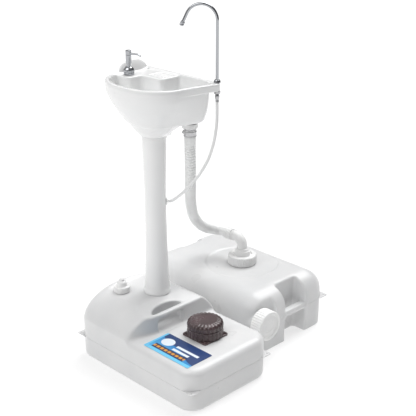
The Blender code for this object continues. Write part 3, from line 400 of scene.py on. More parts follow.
def add(tree, kind, values=None, **settings):
    """A node with its settings, and its sockets set from values or linked to other sockets."""
    node = tree.nodes.new(kind)
    for key, value in settings.items():
        setattr(node, key, value)
    for key, value in (values or {}).items():
        if isinstance(value, bpy.types.NodeSocket):
            tree.links.new(value, node.inputs[key])
        else:
            node.inputs[key].default_value = value
    return node


def sums(tree, operation, *values):
    """One step of arithmetic on sockets and numbers."""
    return add(tree, "ShaderNodeMath", dict(enumerate(values)), operation=operation).outputs[0]


def remap(tree, value, low, high, to_low=0.0, to_high=1.0):
    """A value stretched from one range to another, and held inside it."""
    return add(tree, "ShaderNodeMapRange", {"Value": value, "From Min": low, "From Max": high,
                                           "To Min": to_low, "To Max": to_high}).outputs[0]


def mixed(tree, factor, first, second):
    return add(tree, "ShaderNodeMix", {0: factor, 6: first, 7: second}, data_type="RGBA").outputs[2]


def noise(tree, place, scale, detail):
    return add(tree, "ShaderNodeTexNoise", {"Vector": place, "Scale": scale, "Detail": detail}).outputs[0]


def on_piece(tree):
    """A place on the piece itself, in metres."""
    return add(tree, "ShaderNodeTexCoord").outputs["Object"]


def effect(tree, group, **values):
    """A shared effect placed in a material with its own values; returns its outputs."""
    values = {key.replace("_", " "): value for key, value in values.items()}
    return add(tree, "ShaderNodeGroup", values, node_tree=group).outputs


def cloudy_group():
    """Uneven moulded plastic: slow clouds in the colour, fine orange peel in the height."""
    group, given, out = new_group("cloudy_moulding", [
        ("Light", "NodeSocketColor", (1, 1, 1, 1)), ("Dark", "NodeSocketColor", (0.8, 0.8, 0.8, 1)),
        ("Cloud scale", "NodeSocketFloat", 9.0), ("Peel scale", "NodeSocketFloat", 260.0)],
        [("Color", "NodeSocketColor"), ("Height", "NodeSocketFloat"), ("Clouds", "NodeSocketFloat")])
    place = on_piece(group)
    clouds = noise(group, place, given["Cloud scale"], 3.0)
    peel = noise(group, place, given["Peel scale"], 2.0)
    waves = noise(group, place, 38.0, 2.0)
    mask = remap(group, clouds, 0.34, 0.68)
    group.links.new(mixed(group, mask, given["Dark"], given["Light"]), out["Color"])
    group.links.new(sums(group, "MULTIPLY_ADD", waves, 2.5, peel), out["Height"])
    group.links.new(mask, out["Clouds"])
    return group


def scuff_group():
    """Handling marks: short hairlines in two directions, kept to a few patches."""
    group, given, out = new_group("handling_marks", [
        ("Amount", "NodeSocketFloat", 0.5), ("Scale", "NodeSocketFloat", 60.0)],
        [("Marks", "NodeSocketFloat")])
    place = on_piece(group)
    lines = []
    for turn, stretch in (((0.3, 0.5, 0.9), (1.0, 14.0, 5.0)), ((1.1, 0.2, 2.2), (12.0, 1.0, 7.0))):
        laid = add(group, "ShaderNodeMapping", {"Vector": place, "Rotation": turn, "Scale": stretch})
        lines.append(remap(group, noise(group, laid.outputs[0], given["Scale"], 1.0), 0.70, 0.76))
    patches = remap(group, noise(group, place, 14.0, 2.0), 0.5, 0.62)
    kept = sums(group, "MULTIPLY", sums(group, "MAXIMUM", *lines), patches)
    group.links.new(sums(group, "MULTIPLY", kept, given["Amount"]), out["Marks"])
    return group


def brushed_group():
    """Fine lines along one direction, for turned and brushed metal."""
    group, given, out = new_group("brushed_lines", [("Stretch", "NodeSocketVector", (1.0, 1.0, 40.0))],
                                  [("Height", "NodeSocketFloat"), ("Roughness", "NodeSocketFloat")])
    laid = add(group, "ShaderNodeMapping", {"Vector": on_piece(group), "Scale": given["Stretch"]})
    lines = noise(group, laid.outputs[0], 120.0, 3.0)
    group.links.new(lines, out["Height"])
    group.links.new(remap(group, lines, 0.3, 0.7, 0.22, 0.42), out["Roughness"])
    return group


CLOUDY, SCUFFS, BRUSHED = cloudy_group(), scuff_group(), brushed_group()


# ---- materials
def new_material(name, colour, roughness, metallic=0.0, **sockets):
    """A Principled material; returns its node tree and shader so that a finish can add to them."""
    finish = bpy.data.materials.new(name)
    finish.use_nodes = True
    tree = finish.node_tree
    shader = tree.nodes["Principled BSDF"]
    shader.inputs["Base Color"].default_value = (*colour, 1.0)
    shader.inputs["Roughness"].default_value = roughness
    shader.inputs["Metallic"].default_value = metallic
    for key, value in sockets.items():
        shader.inputs[key.replace("_", " ")].default_value = value
    return finish, tree, shader


def bump(tree, shader, height, strength, distance):
    node = add(tree, "ShaderNodeBump", {"Strength": strength, "Distance": distance, "Height": height})
    tree.links.new(node.outputs[0], shader.inputs["Normal"])


def moulded(name, light, dark, roughness, clouds=9.0, peel=260.0, strength=0.25, scuffs=0.5, distance=0.0006,
            **sockets):
    """White moulded plastic: clouds in its colour, orange peel, and a few hairline scuffs that are
    duller than the skin round them."""
    finish, tree, shader = new_material(name, light, roughness, **sockets)
    cloud = effect(tree, CLOUDY, Light=(*light, 1.0), Dark=(*dark, 1.0), Cloud_scale=clouds, Peel_scale=peel)
    marks = effect(tree, SCUFFS, Amount=scuffs)["Marks"]
    worn = (*(0.86 * c for c in dark), 1.0)
    tree.links.new(mixed(tree, marks, cloud["Color"], worn), shader.inputs["Base Color"])
    gloss = remap(tree, cloud["Clouds"], 0.0, 1.0, roughness + 0.05, roughness - 0.03)
    tree.links.new(sums(tree, "MULTIPLY_ADD", marks, 0.25, gloss), shader.inputs["Roughness"])
    bump(tree, shader, cloud["Height"], strength, distance)
    return finish


def plated(name, colour, roughness):
    """Bright plating with faint wiping marks."""
    finish, tree, shader = new_material(name, colour, roughness, 1.0)
    marks = effect(tree, SCUFFS, Scale=140.0)["Marks"]
    tree.links.new(remap(tree, marks, 0.0, 1.0, roughness, roughness + 0.2), shader.inputs["Roughness"])
    return finish


def steel(name, colour, stretch):
    """Steel brushed along the direction of least stretch."""
    finish, tree, shader = new_material(name, colour, 0.3, 1.0)
    lines = effect(tree, BRUSHED, Stretch=stretch)
    tree.links.new(lines["Roughness"], shader.inputs["Roughness"])
    bump(tree, shader, lines["Height"], 0.2, 0.0002)
    return finish


def rubber(name, light, dark, roughness, **sockets):
    """Dark moulded rubber with a pebbled skin and a dusty bloom in patches."""
    finish, tree, shader = new_material(name, light, roughness, **sockets)
    pebbles = add(tree, "ShaderNodeTexVoronoi", {"Vector": on_piece(tree), "Scale": 700.0})
    cloud = effect(tree, CLOUDY, Light=(*light, 1.0), Dark=(*dark, 1.0), Cloud_scale=30.0)
    tree.links.new(cloud["Color"], shader.inputs["Base Color"])
    tree.links.new(remap(tree, cloud["Clouds"], 0, 1, roughness + 0.1, roughness), shader.inputs["Roughness"])
    bump(tree, shader, pebbles.outputs["Distance"], 0.3, 0.0003)
    return finish


def label_film():
    """A printed film in plain blocks: navy over blue, a pale edge along two sides, a dark bar with an
    amber stripe of dashes, a pale disc and two pale lines. The bands are straight lines and one
    sine wave in plan, on shares x and y of the film's width and depth."""
    amber_ink, paper, navy_ink = (0.75, 0.33, 0.03, 1), (0.80, 0.86, 0.92, 1), (0.012, 0.045, 0.17, 1)
    finish, tree, shader = new_material("printed_film", (0.02, 0.1, 0.3), 0.3, Coat_Weight=0.4)
    place = add(tree, "ShaderNodeSeparateXYZ", {"Vector": on_piece(tree)}).outputs
    x = remap(tree, place[0], *LABEL_X)
    y = remap(tree, place[1], *LABEL_Y)

    def times(*values):
        return sums(tree, "MULTIPLY", *values)

    def band(value, low, high, soft=0.01):
        """1 where a value lies between two bounds, with soft edges."""
        return times(remap(tree, value, low, low + soft), remap(tree, value, high, high - soft))

    slope = sums(tree, "MULTIPLY_ADD", x, 0.62, y)
    wave = times(sums(tree, "SINE", times(x, 9.0)), 0.05)
    colour = mixed(tree, remap(tree, slope, 0.1, 0.8), (0.10, 0.48, 0.85, 1), (0.02, 0.22, 0.55, 1))
    colour = mixed(tree, remap(tree, sums(tree, "ADD", slope, wave), 0.80, 0.83), colour, navy_ink)
    edges = sums(tree, "MAXIMUM", remap(tree, x, 0.045, 0.035), remap(tree, y, 0.13, 0.11))
    colour = mixed(tree, edges, colour, (0.16, 0.60, 0.90, 1))
    bar = times(band(y, 0.13, 0.36), band(x, 0.10, 0.80))
    colour = mixed(tree, bar, colour, (0.006, 0.022, 0.09, 1))
    dashes = remap(tree, sums(tree, "PINGPONG", times(x, 24.0), 1.0), 0.24, 0.30)
    colour = mixed(tree, times(band(y, 0.19, 0.30), times(bar, dashes)), colour, amber_ink)
    disc = [sums(tree, "POWER", times(sums(tree, "SUBTRACT", value, centre), stretch), 2.0)
            for value, centre, stretch in ((x, 0.22, 6.0), (y, 0.62, 3.6))]
    colour = mixed(tree, remap(tree, sums(tree, "ADD", *disc), 0.55, 0.50), colour, paper)
    for centre, length in ((0.62, 0.48), (0.44, 0.36)):
        line = sums(tree, "ABSOLUTE", sums(tree, "SUBTRACT", y, centre))
        line = times(remap(tree, line, 0.055, 0.045), band(x, 0.42, 0.42 + length, 0.005))
        colour = mixed(tree, line, colour, paper)
    tree.links.new(colour, shader.inputs["Base Color"])
    return finish


FINISHES = {
    "tank_white": moulded("tank_plastic", (0.74, 0.74, 0.74), (0.68, 0.685, 0.69), 0.30, strength=0.22,
                          scuffs=0.35),
    "cap_white": moulded("cap_plastic", (0.90, 0.90, 0.89), (0.86, 0.86, 0.86), 0.36, clouds=20.0, peel=900.0,
                         strength=0.2, scuffs=0.3, distance=0.0002),
    "basin_white": moulded("basin_plastic", (0.90, 0.90, 0.895), (0.86, 0.865, 0.865), 0.2, clouds=6.0,
                           peel=200.0, strength=0.12, scuffs=0.2, Coat_Weight=0.25),
    "hose_white": moulded("hose_plastic", (0.90, 0.905, 0.90), (0.86, 0.865, 0.86), 0.38, clouds=24.0,
                          peel=700.0, strength=0.15, scuffs=0.3, distance=0.0002),
    "chrome": plated("bright_plating", (0.42, 0.43, 0.45), 0.09),
    "steel": steel("brushed_steel", (0.55, 0.55, 0.56), (1.0, 1.0, 40.0)),
    "pump_rubber": rubber("moulded_rubber", (0.085, 0.050, 0.054), (0.050, 0.029, 0.030), 0.26,
                          Coat_Weight=0.5),
    "seal_rubber": rubber("soft_seal", (0.03, 0.03, 0.03), (0.018, 0.018, 0.018), 0.6),
    "bottle_plastic": moulded("milky_plastic", (0.74, 0.76, 0.76), (0.68, 0.70, 0.70), 0.28, clouds=30.0),
    "label_film": label_film(),
}


def dress(piece, slot, body, *nodes):
    """Gives a piece its finish, the body that it rides on and the CAD nodes that it stands for."""
    piece.data.materials.append(FINISHES[slot])
    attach(piece, body)
    if nodes:
        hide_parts(*nodes)
    return piece


# ---- camera, light and floor
def make_stage():
    """The camera, a pale floor that is level and flat, two wide lights and a graded sky."""
    camera = bpy.data.objects.new("camera", bpy.data.cameras.new("camera"))
    camera.location = (1.7495, -1.5459, 1.3436)
    camera.rotation_euler = (math.radians(68.49), 0.0, math.radians(45.11))
    camera.data.lens, camera.data.sensor_width = 81.4, 36.0
    bpy.context.scene.collection.objects.link(camera)
    bpy.context.scene.camera = camera

    side = np.linspace(-6, 6, 25)
    x, y = np.meshgrid(side, side, indexing="ij")
    points = np.stack([x, y, np.zeros_like(x)], -1).reshape(-1, 3)
    index = np.arange(625).reshape(25, 25)
    quads = np.stack([index[:-1, :-1], index[1:, :-1], index[1:, 1:], index[:-1, 1:]], -1).reshape(-1, 4)
    floor = make_mesh("floor", points, [quads])
    finish, _, shader = new_material("studio_floor", (0.38, 0.38, 0.38), 0.9, Emission_Strength=0.62)
    shader.inputs["Emission Color"].default_value = (1.0, 1.0, 1.0, 1.0)
    floor.data.materials.append(finish)

    def softbox(name, height, heading, strength, spread):
        """A far, wide light from that height and heading, in degrees."""
        light = bpy.data.lights.new(name, "SUN")
        light.energy, light.angle = strength, math.radians(spread)
        holder = bpy.data.objects.new(name, light)
        holder.rotation_euler = (math.radians(90 - height), 0.0, math.radians(heading + 90))
        bpy.context.scene.collection.objects.link(holder)

    softbox("key", 50, 262, 1.2, 50)
    softbox("top", 60, 100, 2.5, 45)
    world = bpy.data.worlds.new("studio")
    world.use_nodes = True
    sky = world.node_tree
    toward = add(sky, "ShaderNodeVectorMath", {0: add(sky, "ShaderNodeTexCoord").outputs["Generated"]},
                 operation="DOT_PRODUCT")
    toward.inputs[1].default_value = (-0.55, -0.45, 0.70)
    glow = mixed(sky, remap(sky, toward.outputs["Value"], -0.2, 0.9), (0.14, 0.14, 0.145, 1),
                 (0.42, 0.42, 0.42, 1))
    sky.links.new(glow, sky.nodes["Background"].inputs[0])
    bpy.context.scene.world = world
    bpy.context.scene.view_settings.view_transform = "Standard"


# ---- hoses
def make_drain_hose():
    """The drain hose: a tube whose radius dips between evenly spaced rings, with plain ends."""
    path = smooth_path(DRAIN_ROUTE, 0.0007)
    along = np.concatenate([[0], np.cumsum(np.linalg.norm(np.diff(path, axis=0), axis=1))])
    plain = np.minimum(np.clip(along / 0.020 - 0.6, 0, 1), np.clip((along[-1] - along) / 0.055 - 0.6, 0, 1))
    ring = 0.5 - 0.5 * np.cos(TURN * along / RING_PITCH)
    radius = DRAIN_HOSE_R - 0.0002 - RING_DEPTH * plain * (1 - ring ** 0.7)
    hose = carried("corrugated_drain_hose", path, radius, sides=40)
    dress(hose, "hose_white", "stand", "drain_hose")


def make_supply_hose():
    """The supply hose: a plain ring carried along its route."""
    path = smooth_path(SUPPLY_ROUTE, 0.003)
    hose = carried("supply_tube", path, SUPPLY_R, sides=20)
    dress(hose, "hose_white", "stand", "supply_hose")


# ---- tanks
def shoulder(z, base, reach, power):
    """How far a side of the raised end has leaned in at a height: nothing at its base, all of its
    reach at the ridge, along a superellipse."""
    share = np.clip((z - base) / (RIDGE_TOP - base), 0, 1)
    return reach * (1 - (1 - share ** power) ** (1 / power))


def fresh_field(x, y, z):
    """The base tank: a low slab with soft shoulders, joined by a fillet to the loaf-shaped raised
    end, which is cut by the platform's pocket, the finger slot and the recess under the grip."""
    outline = rounded_plan(x, y, FRESH_X, FRESH_Y, FRESH_CORNER)
    low = slab(outline, z - LOW_TOP, 0.024, 0.020, 2.2)
    left = FRESH_X[0] + shoulder(z, 0.120, 0.036, 2.2) - x
    front = FRESH_Y[0] + shoulder(z, 0.115, 0.100, 1.6) - y
    back = y - FRESH_Y[1] + shoulder(z, 0.115, 0.084, 1.5)
    step = x - STEP_X - 0.002 + 0.09 * (z - LOW_TOP)
    cheek = 0.928 * (x - STEP_X) - 0.371 * (y + 0.100) + 0.09 * (z - LOW_TOP)
    step = both(step, cheek, 0.015)
    raised = np.maximum(both(both(front, left, 0.050), step, 0.010),
                        both(both(back, left, 0.050), step, 0.008))
    raised = both(raised, z - RIDGE_TOP, 0.003)
    platform = PLATFORM - 0.0115 * np.clip((x - 0.030) / 0.060, 0, 1) ** 1.3
    raised = without(raised, both(-0.103 - x - 0.6 * (z - PLATFORM), platform - z, 0.006), 0.006)
    body = either(low, raised, 0.009)
    middle = sum(GRIP_Y) / 2
    half = (GRIP_Y[1] - GRIP_Y[0]) / 2
    moon = (np.hypot((x - GRIP_X[1]) / (GRIP_X[1] - GRIP_X[0]), (y - middle) / half) - 1) * 0.02
    slot = both(both(moon, x - GRIP_X[1], 0.003), GRIP_FLOOR - z, 0.006)
    body = without(body, slot, 0.0035)
    recess = both(both(np.abs(y - middle) - half + 0.006, z - GRIP_BAR, 0.008), GRIP_FLOOR - z, 0.006)
    body = without(body, np.maximum(recess, GRIP_X[1] - 0.004 - x), 0.003)
    fill = from_axis(x, y, FILL_AT)
    body = either(body, both(fill - 0.0168, z - PLATFORM - 0.0125, 0.001), 0.002)
    body = without(body, both(fill - 0.0135, 0.130 - z, 0.003), 0.001)
    post = np.hypot(x, y)
    body = without(either(body, both(post - 0.0215, z - 0.200, 0.001), 0.002),
                   both(post - 0.017, 0.150 - z, 0.003), 0.001)
    pump = from_axis(x, y, PUMP_AT)
    body = without(body, both(pump - 0.0342, 0.086 - z, 0.003), 0.001)
    return both(body, slab(outline, -z, 0.015, 0.018, 2.2), 0.0005)


def waste_field(x, y, z):
    """The waste tank: a slab with broad shoulders, a shallow disc round its neck, a bar across the
    notch in each end, and one end wall set back for the drain neck."""
    outline = rounded_plan(x, y, WASTE_X, WASTE_Y, WASTE_CORNER)
    body = slab(outline, z - WASTE_TOP, 0.066, 0.062, 2.2)
    cap = from_axis(x, y, WASTE_CAP_AT)
    body = without(body, both(cap - WASTE_DISC_R, WASTE_TOP - 0.0025 - z, 0.002), 0.0012)
    corner = both(both(DRAIN_WALL_X - x, y - DRAIN_CAP_AT[0] - 0.050, 0.008), 0.036 - z, 0.008)
    body = without(body, corner, 0.006)
    for side, end in ((1, WASTE_X[1]), (-1, WASTE_X[0])):
        depth = (x - end) * side
        notch = both(np.abs(y - sum(LIFT_Y) / 2) - (LIFT_Y[1] - LIFT_Y[0]) / 2, -depth - LIFT_DEPTH, 0.010)
        body = without(body, notch, 0.005)
        bar = both(both(depth, -depth - LIFT_BAR_DEPTH, 0.006), np.abs(z - sum(LIFT_BAR_Z) / 2) - 0.0100,
                   0.006)
        bar = both(bar, np.abs(y - sum(LIFT_Y) / 2) - 0.052, 0.004)
        body = either(body, bar, 0.006)
    body = either(body, both(cap - 0.0338, z - 0.1838, 0.001), 0.002)
    body = without(body, both(cap - 0.0265, 0.060 - z, 0.004), 0.001)
    drain = np.hypot(y - DRAIN_CAP_AT[0], z - DRAIN_CAP_AT[1])
    body = either(body, both(both(drain - 0.0345, x - 0.2378, 0.001), 0.180 - x, 0.001), 0.003)
    body = without(body, both(drain - 0.0285, 0.120 - x, 0.004), 0.001)
    return both(body, slab(outline - 0.012, -z, 0.025, 0.020, 2.2), 0.0005)


def ear_field(x, y, z, corner, signs, height):
    """A thin three-cornered ear on the parting line, with a round hole."""
    u, v = (corner[0] - x) * signs[0], (corner[1] - y) * signs[1]
    plate = both(both(-0.0005 - u, -0.0005 - v, 0.004), u + v - 0.034, 0.003)
    plate = without(plate, np.hypot(u - 0.0072, v - 0.0072) - 0.0021, 0.0004)
    return both(plate, np.abs(z - height) - 0.0013, 0.0006)


def seam_ring(name, outline, middle, height, thickness, count=480):
    """A thin bead round an outline. Each ray from the middle walks until the outline's field is 0."""
    angle = np.arange(count) * TURN / count
    ray = np.stack([np.cos(angle), np.sin(angle)])
    reach = np.full(count, 0.1)
    for _ in range(80):
        reach = reach - 0.8 * outline(*(np.array(middle)[:, None] + ray * reach))
    points = np.column_stack([(np.array(middle)[:, None] + ray * reach).T, np.full(count, height)])
    return carried(name, points, thickness, sides=10, looped=True)


def make_tanks():
    """Both tanks, each with the bead of its parting line and the ears that stand on it."""
    fresh = solid("fresh_tank_shell", fresh_field, (FRESH_X[0], FRESH_Y[0], 0),
                  (FRESH_X[1], FRESH_Y[1], 0.201), 0.0025)
    dress(fresh, "tank_white", "stand", "fresh_tank")
    waste = solid("waste_tank_shell", waste_field, (WASTE_X[0], WASTE_Y[0], 0), (0.240, WASTE_Y[1], 0.184),
                  0.0027)
    dress(waste, "tank_white", "stand", "waste_tank")
    seam = seam_ring("fresh_parting_line", lambda x, y: rounded_plan(x, y, FRESH_X, FRESH_Y, FRESH_CORNER),
                     (0.087, -0.027), FRESH_PARTING, 0.0009)
    dress(seam, "tank_white", "stand")

    def waste_outline(x, y):
        set_back = both(DRAIN_WALL_X - x, y - DRAIN_CAP_AT[0] - 0.050, 0.008)
        return without(rounded_plan(x, y, WASTE_X, WASTE_Y, WASTE_CORNER), set_back, 0.006)

    seam = seam_ring("waste_parting_line", waste_outline, (-0.006, 0.310), WASTE_PARTING, 0.0012)
    dress(seam, "tank_white", "stand")
    for name, x_range, y_range, height, corners in (
            ("fresh", FRESH_X, FRESH_Y, FRESH_PARTING, ((1, -1), (1, 1), (-1, 1), (-1, -1))),
            ("waste", WASTE_X, WASTE_Y, WASTE_PARTING, ((1, 1), (-1, 1), (-1, -1)))):
        for index, signs in enumerate(corners, 1):
            corner = (x_range[signs[0] > 0], y_range[signs[1] > 0])
            low = [min(c, c - EAR_REACH * s) for c, s in zip(corner, signs)] + [height - 0.002]
            high = [max(c, c - EAR_REACH * s) for c, s in zip(corner, signs)] + [height + 0.002]
            field = functools.partial(ear_field, corner=corner, signs=signs, height=height)
            ear = solid(f"{name}_ear_{index}", field, low, high, 0.0007)
            dress(ear, "tank_white", "stand")


# ---- pedestal and basin
def make_pedestal():
    """The pedestal: a waisted column turned about the tank's boss, flared at its foot."""
    profile = eased([(0.0240, 0.6540), (0.0308, 0.6540), (0.0308, 0.6300, 0.0004), (0.0327, 0.6296),
                     (0.0326, 0.6200), (0.0318, 0.6180), (0.0312, 0.5800, 0.01), (0.0298, 0.5300, 0.02),
                     (0.0285, 0.4700, 0.03), (0.0284, 0.4000, 0.03), (0.0300, 0.3000, 0.03),
                     (0.0328, 0.2200, 0.012), (0.0345, 0.1950, 0.003),
                     (0.0370, 0.1890, 0.003), (0.0372, 0.1820, 0.0010), (0.0360, 0.1813, 0.0005),
                     (0.0245, 0.1813)],
                    0.0008, looped=True)
    column = turned("pedestal_column", profile, sides=128, looped=True)
    dress(column, "basin_white", "stand", "pedestal")
    rings = eased([(0.0041, 0.0322), (0.0062, 0.0322), (0.0096, 0.0308), (0.0097, 0.0292), (0.0066, 0.0289),
                   (0.0066, 0.0235), (0.0041, 0.0235)], 0.0008, looped=True)
    grommet = turned("hose_grommet_ring", rings, axis="X", sides=64, looped=True)
    grommet.data.transform(Matrix.Translation((0.0, 0.0, HOSE_HOLE_Z)) @ Matrix.Rotation(HOSE_HOLE_ANGLE, 4,
                                                                                         "Z"))
    dress(grommet, "hose_white", "stand", "hose_grommet")


def d_outline(x, y, half_back, y_back, half_x, half_y, x_mid, y_mid, corner):
    """Distance in plan to a D: half an ellipse in front, straight sides, and a square back."""
    front = (np.hypot((x - x_mid) / half_x, np.minimum(y - y_mid, 0) / half_y) - 1) * half_y
    back_share = np.clip((y - y_mid) / np.maximum(y_back - y_mid, 0.001), 0, 1)
    half = half_x + (half_back - half_x) * back_share
    sides = (np.abs(x - x_mid * (1 - back_share)) - half) * half_y / half_x
    return both(np.where(y < y_mid, front, sides), y - y_back, corner)


def basin_field(x, y, z):
    """The basin: a shell between two stacks of D outlines, with a flat rim, a solid corner for the
    soap pump and tray, a dished drain seat and the socket for the pedestal."""
    rim = d_outline(x, y, 0.139, 0.110, 0.126, 0.088, -0.012, -0.010, 0.012)
    rim = both(both(rim, z - RIM_TOP, 0.0045), LEDGE_BOTTOM - z, 0.003)
    half_back, y_back, half_x, half_y, x_mid, y_mid = between_levels(z, BASIN_OUTSIDE)
    corner = np.clip((z - 0.60) * 0.5, 0.012, 0.042)
    body = both(d_outline(x, y, half_back, y_back, half_x, half_y, x_mid, y_mid, corner), z - 0.762, 0.001)
    body = both(body, 0.630 - z, 0.001)
    outer = either(rim, body, 0.0015)
    half_back, y_back, half_x, half_y, x_mid, y_mid = between_levels(z, BASIN_INSIDE)
    bowl = both(d_outline(x, y, half_back, y_back, half_x, half_y, x_mid, y_mid, 0.032), BOWL_FLOOR - z,
                0.006)
    dish = both(from_axis(x, y, DRAIN_AT) - 0.0272, BOWL_FLOOR - z, 0.001)
    bowl = either(bowl, both(dish, z - 0.700, 0.001), 0.010)
    soap_side = both(x + 0.079, -0.015 - y, 0.016)
    tray_side = both(x + 0.007, 0.032 - y, 0.016)
    deck = both(either(soap_side, tray_side, 0.012), z - DECK_TOP, 0.005)
    bowl = without(bowl, deck, 0.006)
    basin = without(outer, bowl, 0.0042)
    up = z - DECK_TOP
    hump = np.sqrt(((x + 0.131 + 0.3 * up) / 0.0078) ** 2 + ((y - 0.048) / 0.050) ** 2 + (up / 0.030) ** 2)
    basin = either(basin, (hump - 1) * 0.0078, 0.003)
    tray = both(rounded_plan(x, y, (-0.070, -0.016), (0.044, 0.092), 0.010), DECK_TOP - 0.0016 - z, 0.001)
    basin = without(basin, both(tray, z - 0.775, 0.001), 0.001)
    across = (y - 0.068 + 0.5 * 0.0120 + 0.048) % 0.0120 - 0.006
    ribs = rounded_plan(x, across, (-0.066, -0.020), (-0.0022, 0.0022), 0.002)
    ribs = both(ribs, np.abs(y - 0.068) - 0.021, 0.0005)
    basin = either(basin, both(both(ribs, z - DECK_TOP - 0.0002, 0.0008), 0.760 - z, 0.0005), 0.0006)
    drain = from_axis(x, y, DRAIN_AT)
    basin = without(basin, drain - 0.0168, 0.0008)
    hole = np.hypot(x + 0.119, y - 0.089) - 0.0030
    basin = without(basin, both(hole, 0.755 - z, 0.001), 0.0006)
    socket = both(np.hypot(x, y) - 0.0312, z - 0.655, 0.001)
    soap = both(from_axis(x, y, SOAP_AT) - 0.0112, 0.750 - z, 0.001)
    return np.maximum(np.maximum(basin, -socket), -soap)


def make_basin():
    """The basin, as the zero surface of its field."""
    basin = solid("basin_shell", basin_field, (-0.139, -0.098, 0.630), (0.139, 0.110, 0.797), 0.0019)
    dress(basin, "basin_white", "stand", "basin")


# ---- caps and elbow
def grip_ribs(count, depth, inner):
    """Rounded ribs on a cap's skirt: a scallop of that depth wherever the radius is near its widest."""
    def ripple(radius, _height, angle):
        scallop = np.abs(np.sin(0.5 * count * angle)) ** 0.6
        return -depth * (1 - scallop) * np.clip((radius - inner) / 0.0006, 0, 1)
    return ripple


def make_caps():
    """The three screw caps: a nozzle-shaped fill cap, the ring nut, and the big drain cap on its side."""
    low = PLATFORM + 0.0005
    cap = turned("fill_cap_body", eased([
        (0.0, 0.2213), (0.0043, 0.2208, 0.002), (0.0070, 0.2178, 0.002), (0.0079, 0.2128, 0.001),
        (0.0112, 0.2112, 0.001), (0.0137, 0.2075, 0.002), (0.0151, 0.1987, 0.001), (0.0214, 0.1981, 0.0008),
        (0.0229, 0.1962, 0.0012), (0.0229, low + 0.001, 0.0006), (0.0222, low, 0.0004), (0.0178, low),
        (0.0178, 0.1958), (0.0, 0.1958)]),
        at=(*FILL_AT, 0.0), sides=240, ripple=grip_ribs(40, 0.0008, 0.0219))
    dress(cap, "cap_white", "fill_lid", "fill_cap")
    ring = turned("waste_cap_nut", eased([
        (0.0394, 0.1919, 0.0015), (0.0429, 0.1893, 0.002), (0.0429, 0.1655, 0.0008), (0.0422, 0.1645, 0.0004),
        (0.0345, 0.1645), (0.0345, 0.1886), (0.0291, 0.1886), (0.0291, 0.1919, 0.001)], looped=True),
        at=(*WASTE_CAP_AT, 0.0), sides=360, ripple=grip_ribs(36, 0.0016, 0.0414), looped=True)
    dress(ring, "cap_white", "waste_nut", "waste_cap_ring")
    y, z = DRAIN_CAP_AT
    lid = turned("drain_cap_body", eased([
        (0.0, 0.2446), (0.0180, 0.2446, 0.001), (0.0190, 0.2456, 0.001), (0.0328, 0.2456, 0.0012),
        (0.0352, 0.2495, 0.0015), (0.0402, 0.2498, 0.0015), (0.0429, 0.2478, 0.002), (0.0429, 0.2145, 0.0008),
        (0.0422, 0.2136, 0.0005), (0.0356, 0.2136), (0.0356, 0.2402), (0.0, 0.2402)]),
        at=(0.0, y, z), axis="X", sides=360, ripple=grip_ribs(36, 0.0015, 0.0414))
    dress(lid, "cap_white", "drain_lid", "drain_cap")


def make_elbow():
    """The elbow: a flat clamped plate, a collar, a bead, and a quarter bend to a level spigot."""
    stack = [(0.1861, 0.0322), (0.1863, 0.0329), (0.1878, 0.0329), (0.1880, 0.0322), (0.1881, 0.0232),
             (0.1884, 0.0229), (0.2024, 0.0229), (0.2031, 0.0222), (0.2034, 0.0195), (0.2038, 0.0189),
             (0.2096, 0.0189), (0.2101, 0.0183), (0.2103, 0.0155), (0.2108, 0.0150), (0.2120, 0.0150)]
    angle = np.linspace(0, math.pi / 2, 25)
    bend = np.column_stack([WASTE_CAP_AT[0] - ELBOW_BEND * (1 - np.cos(angle)), np.full(25, WASTE_CAP_AT[1]),
                            ELBOW_Z - ELBOW_BEND + ELBOW_BEND * np.sin(angle)])
    stem = np.array([(*WASTE_CAP_AT, height) for height, _ in stack])
    reach = (-0.0165, -0.0185, -0.0190, -0.0225, -0.0230, -0.0272, -0.0277)
    spigot = np.array([(x, WASTE_CAP_AT[1], ELBOW_Z) for x in reach])
    bead = [0.0150, 0.0150, 0.0162, 0.0162, 0.0150, 0.0150, 0.0145]
    radius = np.concatenate([[r for _, r in stack], np.full(25, 0.0150), bead])
    elbow = carried("waste_elbow_pipe", np.vstack([stem, bend, spigot]), radius, sides=64)
    dress(elbow, "cap_white", "stand", "waste_elbow")
    rows = np.array([
        (-0.0550, 0.0158), (-0.0549, 0.0166), (-0.0545, 0.0170), (-0.0500, 0.0170), (-0.0494, 0.0163),
        (-0.0470, 0.0163), (-0.0464, 0.0171), (-0.0420, 0.0171), (-0.0414, 0.0163), (-0.0390, 0.0163),
        (-0.0384, 0.0171), (-0.0340, 0.0171), (-0.0334, 0.0163), (-0.0310, 0.0163), (-0.0304, 0.0171),
        (-0.0286, 0.0171), (-0.0281, 0.0167), (-0.0280, 0.0158)])
    path = [(x, WASTE_CAP_AT[1], ELBOW_Z) for x in rows[:, 0]]
    cuff = carried("drain_hose_cuff", path, rows[:, 1], sides=64)
    dress(cuff, "hose_white", "stand", "hose_cuff")


# ---- foot pump
def flutes(depth, low, high, count=24):
    """Pleats round the pump: grooves between round flutes, fading out above and below."""
    def ripple(radius, height, angle):
        groove = 1 - np.abs(np.cos(0.5 * count * angle)) ** 0.8
        fade = np.clip((height - low) / 0.002, 0, 1) * np.clip((high - height) / 0.002, 0, 1)
        return -depth * groove * fade * np.clip((radius - 0.030) / 0.006, 0, 1)
    return ripple


